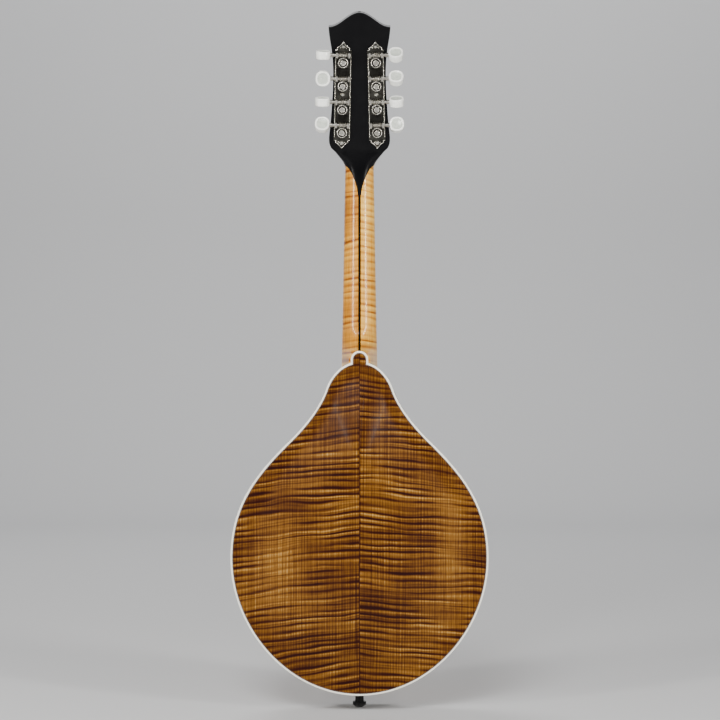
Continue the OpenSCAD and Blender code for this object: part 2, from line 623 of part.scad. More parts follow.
// ---- tailpiece ----------------------------------------------------------------------------------------
tail_y = top_y - 3;
hook_z = 14;
hook_h = 3.6;                                     // strings above the tailpiece plate's underside
tail_slope = atan((-saddle_top + tail_y - hook_h) / (bridge_z - tail_z));
function tail_pt(p) = rotx(p, tail_slope) + [0, tail_y, tail_z];
module tail_frame() translate([0, tail_y, tail_z]) rotate([tail_slope, 0, 0]) children();
HOOK_X = [-17.5, -12.5, -7.5, -2.5, 2.5, 7.5, 12.5, 17.5];
TAIL_SCREWS = [[-9, 4], [9, 4]];
module tailpiece_base() {
    color("silver") difference() {
        union() {
            tail_frame() difference() {
                slab(-1.2, 0) polygon([[-24, -1.4], [24, -1.4], [26, 3], [26, 36], [20, 42],
                    [-20, 42], [-26, 36], [-26, 3]]);
                for (x = [-10.5, 0, 10.5]) translate([x, 0, 28]) ycyl(2.5, -3, 3);
            }
            tail_frame() for (x = HOOK_X) translate([x, 0, hook_z + 0.9]) rotate([14, 0, 0])
                ycyl(0.8, -4.9, -0.6);
            translate([0, 0, tail_z - 1.4]) linear_extrude(height = 1.2) polygon([[-24, tail_y - 1],
                [24, tail_y - 1], [24, -6], [13, 4], [9, 19], [-9, 19], [-13, 4], [-24, -6]]);
        }
        translate([0, pin_y, tail_z - 3]) cylinder(r = 4.05, h = 6);
        for (p = TAIL_SCREWS) translate([p[0], p[1] - 4, tail_z - 3]) cylinder(r = 1.3, h = 6);
    }
}
cover_t = 0.9;
cover_w = 28.6;
cover_h = 7.6;
module cover_plan(inset) {
    w = cover_w - inset;
    polygon([[-w + 3, 0.6 + inset], [w - 3, 0.6 + inset], [w, 4 + inset], [w, 40],
        [w - 3, 56 - inset / 2], [w - 9, cover_len - 5 - inset], [w - 15, cover_len - inset],
        [-w + 15, cover_len - inset], [-w + 9, cover_len - 5 - inset],
        [-w + 3, 56 - inset / 2], [-w, 40], [-w, 4 + inset]]);
}
// Section across the cover: a flat crown with sloping sides
module cover_section(inset) {
    w = cover_w - inset;
    h = cover_h - inset;
    polygon([[-w, inset], [-w, -3], [-w + 2.2, -h + 1.6], [-w + 5.5, -h], [w - 5.5, -h],
        [w - 2.2, -h + 1.6], [w, -3], [w, inset]]);
}
module cover_solid(inset) {
    intersection() {
        linear_extrude(height = 90) cover_section(inset);
        slab(-20, 2) cover_plan(inset);
    }
}
module tailpiece_cover() {
    color("silver") tail_frame() difference() {
        cover_solid(0);
        cover_solid(cover_t);
        box([-40, -0.2, -5], [40, 4, 90]);
        box([-cover_w + 1.2, -1.5, -5], [cover_w - 1.2, 1, 8]);
        box([-23, -6.2, cover_len - 9], [23, 1, 90]);
        box([-21, -6.2, -5], [21, 1, 5]);
    }
}

// ---- end pin and screws ----------------------------------------------------------------------------------
pin_head_r = 6.6;
module end_pin() {
    color("black") translate([0, pin_y, tail_z]) {
        translate([0, 0, -1.5]) cylinder(r = 4, h = 25);
        translate([0, 0, -3.2]) cylinder(r = 6.4, h = 1.75);
        translate([0, 0, -9]) cylinder(r1 = 4.4, r2 = 4.1, h = 6);
        translate([0, 0, -12]) cylinder(r = pin_head_r, h = 3);
        translate([0, 0, -14.2]) cylinder(r1 = 3.6, r2 = pin_head_r, h = 2.2);
    }
}
module wood_screw(r, l) {
    difference() {
        union() {
            cylinder(r = r, h = 0.5);
            translate([0, 0, 0.5]) cylinder(r1 = r, r2 = r * 0.55, h = r * 0.4);
            translate([0, 0, -l]) cylinder(r = r * 0.45, h = l + 0.1);
        }
        translate([-r, -0.25, 0.45]) cube([2 * r, 0.5, 3]);
    }
}
PLATE_SCREWS = [-10.9, 37, 84];                // places along the plate, from the first post
module mounting_screws() {
    color("silver") {
        for (side = [BASS, TREBLE], z = PLATE_SCREWS) tuner_frame(side, 0)
            translate([0, plate_t, z]) rotate([-90, 0, 0]) wood_screw(1.9, 7);
        for (p = COVER_SCREWS) head_frame() translate([p[0], -1.5, p[1]]) rotate([90, 0, 0])
            wood_screw(1.5, 2.6);
        for (p = TAIL_SCREWS) translate([p[0], p[1] - 4, tail_z - 1.4]) rotate([180, 0, 0])
            wood_screw(2.1, 12);
    }
}

// ---- tuners ----------------------------------------------------------------------------------
// Places are from the first post, on the back of the headstock: x across, y away from it, z along the row
post_x = 17.4;
post_z = 31.3;
splay = 1.2;                                      // the two rows lean together towards the peak
plate_t = 1.2;
axle_h = plate_t + 3.5;                           // worm's axis above the headstock
cog_r = 4.7;                                      // pitch radius
tooth = 0.5;                                      // half the depth of a tooth or of the thread
thread_pitch = 2 * PI * cog_r / cog_teeth;
worm_r = 2.4;                                     // pitch radius
mesh_gap = 0.22;
worm_z = cog_r + worm_r + mesh_gap;               // worm's axis above the post's
cog_y = [axle_h - 1.6, axle_h + 1.6];
post_r = 3;
post_out = 11;                                    // post in front of the headstock's face
bushing_r = 4.2;
bushing_d = 5;
shaft_r = 1.5;
button_x = 19.6;
button_h = [14.4, 15.2, 8];                       // button along its shaft, across it, and thick
BUTTON_TURN_BASS = [30, 80, 50, 57];
BUTTON_TURN_TREBLE = [38, 90, 0, 90];
function post_place(side, k) = [side * post_x, 0, post_z]
    + roty([0, 0, k * post_pitch], -side * splay);
function tuner_pt(side, k, p) = head_pt(roty(p, -side * splay) + post_place(side, k)
    + [0, head_t, 0]);
module tuner_frame(side, k) head_frame() translate(post_place(side, k) + [0, head_t, 0])
    rotate([0, -side * splay, 0]) children();

PLATE_END = [[8.2, 0], [8.2, 3], [6.2, 3.4], [6.6, 5.2], [3.4, 7.4], [0, 12]];
function plate_tip(z, s) = [for (p = PLATE_END) [p[0], z + s * p[1]]];
module plate_shape() {
    up = plate_tip(77.7, 1);
    down = plate_tip(-5.1, -1);
    right = concat([for (i = [5 : -1 : 0]) down[i]], up);
    polygon(concat(right, [for (i = [len(right) - 2 : -1 : 1]) mirrored(right[i])]));
}
lug_x = 5.9;
lug_t = 1.7;
module tuner_plate(side) {
    color("silver") tuner_frame(side, 0) difference() {
        union() {
            slab(0, plate_t) plate_shape();
            for (s = [-1, 1]) box([s * 7.3 - 0.9, plate_t - 0.1, -5.1], [s * 7.3 + 0.9, 2.3, 77.7]);
            for (k = [0 : 3], s = [-1, 1])
                box([s * lug_x - lug_t / 2, plate_t - 0.1, k * post_pitch + worm_z - 2.6],
                    [s * lug_x + lug_t / 2, axle_h + 2.3, k * post_pitch + worm_z + 2.6]);
        }
        for (k = [0 : 3]) translate([0, 0, k * post_pitch]) {
            ycyl(post_r + 0.08, -1, 4);
            translate([0, axle_h, worm_z]) xcyl(shaft_r + 0.06, -8, 8);
        }
        for (z = PLATE_SCREWS) translate([0, 0, z]) ycyl(1.05, -1, 4);
    }
}
module post_bushings() {
    color("silver") for (side = [BASS, TREBLE]) at_posts(side) difference() {
        union() {
            ycyl(4.9, -head_t - 0.8, -head_t);
            ycyl(bushing_r, -head_t - 0.1, bushing_d - head_t - 0.05);
        }
        ycyl(post_r + 0.06, -head_t - 2, 0);
    }
}
thread_l = 8.8;
module worm_thread() {
    turns = thread_l / thread_pitch;
    rotate([0, 90, 0]) linear_extrude(height = thread_l, center = true, twist = -360 * turns,
        slices = ceil(turns * 8), $fn = 10) rotate(-180 * turns) translate([tooth, 0])
        circle(r = worm_r, $fn = 10);
}
module tuner_worm(side, k) {
    color("silver") tuner_frame(side, k) translate([0, axle_h, worm_z]) {
        worm_thread();
        xcyl(shaft_r, -side * (lug_x + 1.6), side * (button_x - button_h[0] / 2 + 5));
        xcyl(2.1, side * 9.4, side * (button_x - button_h[0] / 2 - 0.05));
    }
}
module tuner_button(side, k, turn) {
    r = button_h[0] / 2;
    t = button_h[2] / 2;
    color("ivory") tuner_frame(side, k) translate([side * button_x, axle_h, worm_z])
        rotate([turn, 0, 0]) difference() {
            union() {
                ycyl(r, -t + 1.5, t - 1.5);
                translate([0, t - 1.5, 0]) rotate([-90, 0, 0])
                    cylinder(r1 = r, r2 = r - 1.6, h = 1.5);
                translate([0, -t + 1.5, 0]) rotate([90, 0, 0])
                    cylinder(r1 = r, r2 = r - 1.6, h = 1.5);
            }
            xcyl(shaft_r + 0.02, -side * (r + 1), -side * (r - 5.1));
        }
}
module cog_shape() {
    steps = 8;
    polygon([for (i = [0 : cog_teeth * steps - 1])
        let (a = 360 * i / (cog_teeth * steps), r = cog_r - tooth * cos(cog_teeth * (a - 90)))
        r * [cos(a), sin(a)]]);
}
module tuner_post(side, k) {
    color("silver") tuner_frame(side, k) {
        difference() {
            ycyl(post_r, -head_t - post_out, cog_y[1]);
            translate([0, -head_t - 6.5, 0]) xcyl(0.8, -5, 5);
            ycyl(1.22, cog_y[1] - 4, 20);
        }
        difference() {
            slab(cog_y[0], cog_y[1]) cog_shape();
            ycyl(post_r + 0.02, -1, 20);
        }
        difference() {
            union() {
                ycyl(2.7, cog_y[1] + 0.02, cog_y[1] + 1.4);
                ycyl(1.2, cog_y[1] - 3.9, cog_y[1] + 0.1);
            }
            box([-3, cog_y[1] + 0.7, -0.35], [3, 20, 0.35]);
        }
    }
}

// ---- strings ---------------------------------------------------------------------------------
// Which side and post each string winds on, from the lowest string to the highest
STRING_POST = [[BASS, 0], [BASS, 1], [BASS, 2], [BASS, 3],
    [TREBLE, 3], [TREBLE, 2], [TREBLE, 1], [TREBLE, 0]];
function string_path(i) =
    let (r = STRING_R[i], side = STRING_POST[i][0], k = STRING_POST[i][1])
    [tail_pt([HOOK_X[i], -hook_h, hook_z + 1]),
        [SADDLE_X[i], saddle_top - r, bridge_z],
        neck_pt([NUT_X[i], nut_top - r, 0.3]),
        neck_pt([NUT_X[i] * 1.01, nut_top - r + 0.15, nut_t - 0.3]),
        tuner_pt(side, k, [-side * (post_r + r + 0.1), -head_t - 6.5, -0.5])];
function ring(p, r) = [for (a = [0 : 45 : 315]) p + r * [cos(a), sin(a), 0]];
module string(i) {
    loft([for (p = string_path(i)) ring(p, STRING_R[i])]);
}
module strings_wound() {
    color("chocolate") for (i = [0 : 3]) string(i);
}
module strings_plain() {
    color("silver") for (i = [4 : 7]) string(i);
}

// ---- output ----------------------------------------------------------------------------------
top_plate();
back_plate(BASS);  // back_plate_bass
back_plate(TREBLE);  // back_plate_treble
ribs();
neck_block();
tail_block();
kerfed_linings();
tone_bars();
body_binding();
neck_side(BASS);  // neck_bass_side
neck_side(TREBLE);  // neck_treble_side
neck_centre_strip();
headstock_face();
headstock_backstrap();
truss_rod();
truss_rod_cover();
nut();
fingerboard();
fingerboard_binding();
frets();
position_dots();
fingerboard_support();
bridge_base();
bridge_posts();
bridge_wheel(BASS);  // bridge_wheel_bass
bridge_wheel(TREBLE);  // bridge_wheel_treble
bridge_saddle();
tailpiece_base();
tailpiece_cover();
end_pin();
mounting_screws();
strings_wound();
strings_plain();
tuner_plate(BASS);  // tuner_plate_bass
tuner_plate(TREBLE);  // tuner_plate_treble
post_bushings();
tuner_worm(BASS, 0);  // tuner_worm_bass_1
tuner_worm(BASS, 1);  // tuner_worm_bass_2
tuner_worm(BASS, 2);  // tuner_worm_bass_3
tuner_worm(BASS, 3);  // tuner_worm_bass_4
tuner_worm(TREBLE, 0);  // tuner_worm_treble_1
tuner_worm(TREBLE, 1);  // tuner_worm_treble_2
tuner_worm(TREBLE, 2);  // tuner_worm_treble_3
tuner_worm(TREBLE, 3);  // tuner_worm_treble_4
tuner_button(BASS, 0, BUTTON_TURN_BASS[0]);  // tuner_button_bass_1
tuner_button(BASS, 1, BUTTON_TURN_BASS[1]);  // tuner_button_bass_2
tuner_button(BASS, 2, BUTTON_TURN_BASS[2]);  // tuner_button_bass_3
tuner_button(BASS, 3, BUTTON_TURN_BASS[3]);  // tuner_button_bass_4
tuner_button(TREBLE, 0, BUTTON_TURN_TREBLE[0]);  // tuner_button_treble_1
tuner_button(TREBLE, 1, BUTTON_TURN_TREBLE[1]);  // tuner_button_treble_2
tuner_button(TREBLE, 2, BUTTON_TURN_TREBLE[2]);  // tuner_button_treble_3
tuner_button(TREBLE, 3, BUTTON_TURN_TREBLE[3]);  // tuner_button_treble_4
tuner_post(BASS, 0);  // tuner_post_bass_1
tuner_post(BASS, 1);  // tuner_post_bass_2
tuner_post(BASS, 2);  // tuner_post_bass_3
tuner_post(BASS, 3);  // tuner_post_bass_4
tuner_post(TREBLE, 0);  // tuner_post_treble_1
tuner_post(TREBLE, 1);  // tuner_post_treble_2
tuner_post(TREBLE, 2);  // tuner_post_treble_3
tuner_post(TREBLE, 3);  // tuner_post_treble_4
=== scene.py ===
import math
import bmesh
import bpy
import numpy as np
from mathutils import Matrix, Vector


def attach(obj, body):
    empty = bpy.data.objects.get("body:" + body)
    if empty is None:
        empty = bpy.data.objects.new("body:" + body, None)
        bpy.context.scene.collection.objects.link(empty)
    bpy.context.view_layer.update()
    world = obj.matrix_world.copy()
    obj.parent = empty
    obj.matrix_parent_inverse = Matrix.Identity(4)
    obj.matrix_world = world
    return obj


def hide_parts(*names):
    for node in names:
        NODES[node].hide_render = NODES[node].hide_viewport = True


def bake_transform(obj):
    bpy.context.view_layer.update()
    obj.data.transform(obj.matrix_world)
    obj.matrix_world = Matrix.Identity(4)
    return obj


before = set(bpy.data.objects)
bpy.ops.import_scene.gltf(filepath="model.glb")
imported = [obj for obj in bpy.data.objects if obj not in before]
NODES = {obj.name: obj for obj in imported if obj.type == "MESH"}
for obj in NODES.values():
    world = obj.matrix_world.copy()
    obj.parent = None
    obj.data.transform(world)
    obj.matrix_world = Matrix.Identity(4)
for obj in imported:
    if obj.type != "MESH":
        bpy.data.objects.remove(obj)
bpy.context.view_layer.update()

scene = bpy.context.scene

# ---------------------------------------------------------------- sizes, millimetres, as the CAD has them
BODY_LEN, RIB_H, EDGE_T, JOINT_TO_TAIL = 328.5, 36.0, 4.5, 322.0
TOP_RISE, BACK_RISE, BIND_W = 12.5, 12.0, 2.6
SCALE, NECK_ANGLE, NUT_W, HEEL_W, NECK_D, STRIP_W = 352.4, 5.0, 28.6, 36.0, 14.6, 2.5
BOARD_T, HEAD_ANGLE, HEAD_LEN, HEAD_T, PITCH = 5.0, 12.0, 148.2, 14.0, 23.0
HEAD_DROP, HEAD_START, HEAD_TOP = 1.5, 4.5, 134.3   # where the head leaves the neck, and its sides' upper end
JOINT_FRET = 15
BASS, TREBLE = -1, 1
rad = math.radians


def fret_pos(n):
    return SCALE * (1 - 2 ** (-n / 12))


JOINT_L = fret_pos(JOINT_FRET)
JOINT_Z = -JOINT_L * math.cos(rad(NECK_ANGLE))
TAIL_Z = JOINT_Z - JOINT_TO_TAIL
CROWN_Z = TAIL_Z + BODY_LEN
TOP_Y = -10.0
RIB_FRONT = TOP_Y + EDGE_T
RIB_BACK = RIB_FRONT + RIB_H
BACK_Y = RIB_BACK + EDGE_T
BUTTON_R = 8.6
BUTTON_Z = CROWN_Z + 2


def lerp(a, b, t):
    return a + (b - a) * t


def clamp01(t):
    return min(1.0, max(0.0, t))


def smooth(t):
    c = clamp01(t)
    return c * c * (3 - 2 * c)


def rotx(p, a):
    c, s = math.cos(rad(a)), math.sin(rad(a))
    return (p[0], p[1] * c - p[2] * s, p[1] * s + p[2] * c)


def roty(p, a):
    c, s = math.cos(rad(a)), math.sin(rad(a))
    return (p[0] * c + p[2] * s, p[1], -p[0] * s + p[2] * c)


def add(p, q):
    return (p[0] + q[0], p[1] + q[1], p[2] + q[2])


def neck_pt(p):
    return rotx(p, -NECK_ANGLE)


def head_to_neck(p):
    return add(rotx(p, -HEAD_ANGLE), (0, -HEAD_DROP, HEAD_START))


def head_pt(p):
    return neck_pt(head_to_neck(p))


# ---------------------------------------------------------------- mesh helpers (millimetres in, metres out)
def make(name, verts, faces, body, replaces=(), slot=None, mats=(), face_mat=None, angle=32, flip=False):
    me = bpy.data.meshes.new(name)
    me.from_pydata([(x / 1000, y / 1000, z / 1000) for x, y, z in verts], [], faces)
    me.validate()
    ob = bpy.data.objects.new(name, me)
    scene.collection.objects.link(ob)
    for m in mats:
        me.materials.append(m)
    if face_mat is not None and len(face_mat) == len(me.polygons):
        me.polygons.foreach_set("material_index", face_mat)
    bm = bmesh.new()
    bm.from_mesh(me)
    bmesh.ops.remove_doubles(bm, verts=bm.verts, dist=1e-6)
    bmesh.ops.recalc_face_normals(bm, faces=bm.faces)
    if flip:
        bmesh.ops.reverse_faces(bm, faces=bm.faces)
    bm.to_mesh(me)
    bm.free()
    shade(me, angle)
    if body:
        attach(ob, body)
    if replaces:
        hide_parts(*replaces)
    return ob


def shade(me, angle):
    me.polygons.foreach_set("use_smooth", [True] * len(me.polygons))
    if angle < 180:
        me.set_sharp_from_angle(angle=rad(angle))
    me.update()


def loft(loops, closed=True, caps=True):
    """Vertices and faces of a skin over loops of equally many points."""
    k, n = len(loops[0]), len(loops)
    verts = [p for l in loops for p in l]
    faces = []
    for i in range(n - 1):
        for j in range(k if closed else k - 1):
            a, b = i * k + j, i * k + (j + 1) % k
            faces.append((a, b, b + k, a + k))
    if caps:
        faces.append(tuple(range(k - 1, -1, -1)))
        faces.append(tuple((n - 1) * k + j for j in range(k)))
    return verts, faces


def joined(parts):
    verts, faces = [], []
    for v, f in parts:
        o = len(verts)
        verts += v
        faces += [tuple(i + o for i in q) for q in f]
    return verts, faces


def tube(path, radius, sides):
    """A round tube along a path, its rings carried along without twist."""
    pts = [Vector(p) for p in path]
    loops, u = [], Vector((1, 0, 0))
    for i, p in enumerate(pts):
        t = (pts[min(i + 1, len(pts) - 1)] - pts[max(i - 1, 0)]).normalized()
        u = (u - t * u.dot(t))
        if u.length < 1e-6:
            u = t.orthogonal()
        u.normalize()
        v = t.cross(u)
        turn = [2 * math.pi * k / sides for k in range(sides)]
        loops.append([tuple(p + radius * (math.cos(a) * u + math.sin(a) * v)) for a in turn])
    return loft(loops)


def polish(node, angle, bevel):
    """Welds a CAD node's facets for even shading, and breaks its sharp edges, with modifiers only."""
    ob = NODES[node]
    g = bpy.data.node_groups.get(f"weld_{angle}")
    if g is None:
        g = bpy.data.node_groups.new(f"weld_{angle}", "GeometryNodeTree")
        g.interface.new_socket("Geometry", in_out="INPUT", socket_type="NodeSocketGeometry")
        g.interface.new_socket("Geometry", in_out="OUTPUT", socket_type="NodeSocketGeometry")
        gi, go = g.nodes.new("NodeGroupInput"), g.nodes.new("NodeGroupOutput")
        merge = g.nodes.new("GeometryNodeMergeByDistance")
        merge.inputs["Distance"].default_value = 1e-6
        faces = g.nodes.new("GeometryNodeSetShadeSmooth")
        faces.domain = "FACE"
        faces.inputs["Shade Smooth"].default_value = True
        edges = g.nodes.new("GeometryNodeSetShadeSmooth")
        edges.domain = "EDGE"
        edge_angle = g.nodes.new("GeometryNodeInputMeshEdgeAngle")
        less = g.nodes.new("FunctionNodeCompare")
        less.data_type = "FLOAT"
        less.operation = "LESS_THAN"
        less.inputs[1].default_value = rad(angle)
        g.links.new(gi.outputs[0], merge.inputs["Geometry"])
        g.links.new(merge.outputs[0], faces.inputs["Geometry"])
        g.links.new(faces.outputs[0], edges.inputs["Geometry"])
        g.links.new(edge_angle.outputs["Unsigned Angle"], less.inputs[0])
        g.links.new(less.outputs[0], edges.inputs["Shade Smooth"])
        g.links.new(edges.outputs[0], go.inputs[0])
    mod = ob.modifiers.new("weld", "NODES")
    mod.node_group = g
    if bevel:
        b = ob.modifiers.new("edges", "BEVEL")
        b.width = bevel / 1000
        b.segments = 2
        b.limit_method = "ANGLE"
        b.angle_limit = rad(max(angle, 40))
        b.harden_normals = True
        b.use_clamp_overlap = True
    return ob


# ---------------------------------------------------------------- camera, floor and light
def camera():
    cam = bpy.data.objects.new("camera", bpy.data.cameras.new("camera"))
    scene.collection.objects.link(cam)
    cam.data.lens, cam.data.sensor_width = 100, 36
    cam.data.clip_end = 50
    cam.location = (-0.0005, 2.0, -0.1953)
    cam.rotation_euler = (rad(90), 0, rad(180))
    scene.camera = cam


def stage():
    m = bpy.data.materials.new("studio_paper")
    m.use_nodes = True
    b = m.node_tree.nodes["Principled BSDF"]
    b.inputs["Base Color"].default_value = (0.58, 0.585, 0.595, 1)
    b.inputs["Roughness"].default_value = 0.9
    floor_z, back, front, r, reach, top = -0.5415, -2.9, 3.4, 0.7, 4.0, 2.8
    prof = [(front, floor_z)]
    prof += [(back + r - r * math.sin(rad(a)), floor_z + r - r * math.cos(rad(a))) for a in range(0, 91, 6)]
    prof += [(back, top)]
    verts = [(x, y, z) for y, z in prof for x in (-reach, reach)]
    faces = [(2 * i, 2 * i + 1, 2 * i + 3, 2 * i + 2) for i in range(len(prof) - 1)]
    me = bpy.data.meshes.new("studio_floor")
    me.from_pydata(verts, [], faces)
    me.polygons.foreach_set("use_smooth", [True] * len(me.polygons))
    me.materials.append(m)
    ob = bpy.data.objects.new("studio_floor", me)
    scene.collection.objects.link(ob)


def area_light(name, at, target, size, power, colour=(1, 1, 1), shines=True):
    data = bpy.data.lights.new(name, "AREA")
    data.shape = "RECTANGLE"
    data.size, data.size_y = size
    data.energy, data.color = power, colour
    ob = bpy.data.objects.new(name, data)
    ob.location = at
    d = Vector(target) - Vector(at)
    ob.rotation_euler = d.to_track_quat("-Z", "Y").to_euler()
    ob.visible_glossy = shines                  # whether gloss shows the light's own shape
    scene.collection.objects.link(ob)
    return ob


def lights():
    world = bpy.data.worlds.new("studio")
    scene.world = world
    world.use_nodes = True
    bg = world.node_tree.nodes["Background"]
    bg.inputs["Color"].default_value = (0.86, 0.90, 1.0, 1)
    # beyond the paper the room looks as pale as the paper, without lighting the instrument any more
    light, shown_on_top = 0.10, 0.38
    path = world.node_tree.nodes.new("ShaderNodeLightPath")
    pale = world.node_tree.nodes.new("ShaderNodeMath")
    pale.operation = "MULTIPLY_ADD"
    pale.inputs[1].default_value, pale.inputs[2].default_value = shown_on_top, light
    world.node_tree.links.new(path.outputs["Is Camera Ray"], pale.inputs[0])
    world.node_tree.links.new(pale.outputs[0], bg.inputs["Strength"])
    mid, warm, faint = (0, 0.02, -0.25), (1.0, 0.97, 0.92), (1.0, 0.98, 0.95)
    area_light("left_strip", (1.2, 1.12, -0.05), mid, (0.14, 1.7), 26, warm)
    area_light("right_strip", (-1.2, 1.12, -0.05), mid, (0.14, 1.7), 30, warm)
    area_light("key_soft", (0.35, 1.9, 1.0), (0, 0, -0.05), (0.9, 0.9), 30, faint, False)
    area_light("front_soft", (0.6, -1.1, 1.7), mid, (1.1, 0.8), 24, faint, False)
    area_light("head_soft", (0.3, 1.25, 0.62), (0, 0.03, 0.1), (0.5, 0.4), 9)
    area_light("paper_glow", (0.0, -1.7, 1.6), (0, -2.9, 0.3), (3.0, 0.6), 30, (1, 1, 1), False)


camera()
stage()
lights()


# ---------------------------------------------------------------- material helpers
class Mat:
    """A node material with a Principled shader, and short calls to add the nodes that feed it."""

    def __init__(self, name, colour=(0.5, 0.5, 0.5), rough=0.5, metal=0.0, **sockets):
        self.m = bpy.data.materials.new(name)
        self.m.use_nodes = True
        self.t = self.m.node_tree
        self.b = self.t.nodes["Principled BSDF"]
        self.set("Base Color", (*colour, 1))
        self.set("Roughness", rough)
        self.set("Metallic", metal)
        for k, v in sockets.items():
            self.set(k.replace("_", " "), v)
        self._obj = None

    def set(self, socket, v):
        self.b.inputs[socket].default_value = v

    def feed(self, socket, v):
        if isinstance(v, bpy.types.NodeSocket):
            self.t.links.new(v, socket)
        else:
            socket.default_value = v

    def obj(self):
        if self._obj is None:
            self._obj = self.t.nodes.new("ShaderNodeTexCoord").outputs["Object"]
        return self._obj

    def math(self, op, a, b=0.0, c=0.0, clamp=False):
        n = self.t.nodes.new("ShaderNodeMath")
        n.operation = op
        n.use_clamp = clamp
        for s, v in zip(n.inputs, (a, b, c)):
            self.feed(s, v)
        return n.outputs[0]

    def mul(self, a, b):
        return self.math("MULTIPLY", a, b)

    def mad(self, a, b, c, clamp=False):
        """a times b, plus c."""
        return self.math("MULTIPLY_ADD", a, b, c, clamp)

    def swing(self, v, amount, base):
        """base, raised and lowered by a noise value's swing about its middle."""
        return self.mad(self.minus(v, 0.5), amount, base)

    def plus(self, a, b):
        return self.math("ADD", a, b)

    def minus(self, a, b, clamp=False):
        return self.math("SUBTRACT", a, b, clamp=clamp)

    def peaks(self, phase, power):
        """A wave from 0 to 1 whose crests narrow with the power."""
        return self.math("POWER", self.mad(self.math("SINE", phase), 0.5, 0.5), power)

    def xyz(self, v):
        n = self.t.nodes.new("ShaderNodeSeparateXYZ")
        self.feed(n.inputs[0], v)
        return n.outputs

    def vec(self, x=0.0, y=0.0, z=0.0):
        n = self.t.nodes.new("ShaderNodeCombineXYZ")
        for s, v in zip(n.inputs, (x, y, z)):
            self.feed(s, v)
        return n.outputs[0]

    def scaled(self, v, s):
        n = self.t.nodes.new("ShaderNodeVectorMath")
        n.operation = "MULTIPLY"
        self.feed(n.inputs[0], v)
        n.inputs[1].default_value = s
        return n.outputs[0]

    def mm(self):
        """Object coordinates in millimetres."""
        return self.scaled(self.obj(), (1000, 1000, 1000))

    def stretched(self, axes, rates, detail, rough=0.5):
        """Noise over coordinates that each run at a rate of their own."""
        v = self.vec(*[self.mul(a, r) for a, r in zip(axes, rates)])
        return self.noise(v, detail=detail, rough=rough)

    def noise(self, v, scale=1.0, detail=2.0, rough=0.5):
        n = self.t.nodes.new("ShaderNodeTexNoise")
        self.feed(n.inputs["Vector"], v)
        n.inputs["Scale"].default_value = scale
        n.inputs["Detail"].default_value = detail
        n.inputs["Roughness"].default_value = rough
        return n.outputs[0]

    def ramp(self, fac, stops):
        n = self.t.nodes.new("ShaderNodeValToRGB")
        e = n.color_ramp.elements
        while len(e) < len(stops):
            e.new(0.5)
        for el, (p, c) in zip(e, stops):
            el.position = p
            el.color = (c, c, c, 1) if isinstance(c, (int, float)) else (*c, 1)
        self.feed(n.inputs[0], fac)
        return n.outputs[0]

    def mix(self, fac, a, b):
        n = self.t.nodes.new("ShaderNodeMix")
        n.data_type = "RGBA"
        n.clamp_factor = True
        self.feed(n.inputs[0], fac)
        for s, v in ((n.inputs[6], a), (n.inputs[7], b)):
            if isinstance(v, tuple):
                v = (*v, 1)
            self.feed(s, v)
        return n.outputs[2]

    def colour(self, v):
        self.feed(self.b.inputs["Base Color"], v)

    def rough(self, v):
        self.feed(self.b.inputs["Roughness"], v)

    def bump(self, height, depth=0.0002, strength=0.5):
        n = self.t.nodes.new("ShaderNodeBump")
        n.inputs["Strength"].default_value = strength
        n.inputs["Distance"].default_value = depth
        self.feed(n.inputs["Height"], height)
        self.t.links.new(n.outputs[0], self.b.inputs["Normal"])


def srgb(r, g, b):
    def f(c):
        c /= 255
        return c / 12.92 if c <= 0.04045 else ((c + 0.055) / 1.055) ** 2.4
    return (f(r), f(g), f(b))


# ---------------------------------------------------------------- materials
FLAME, WEAVE = 6.2, 2.7                     # distance from one dark line to the next, and of the cross grain


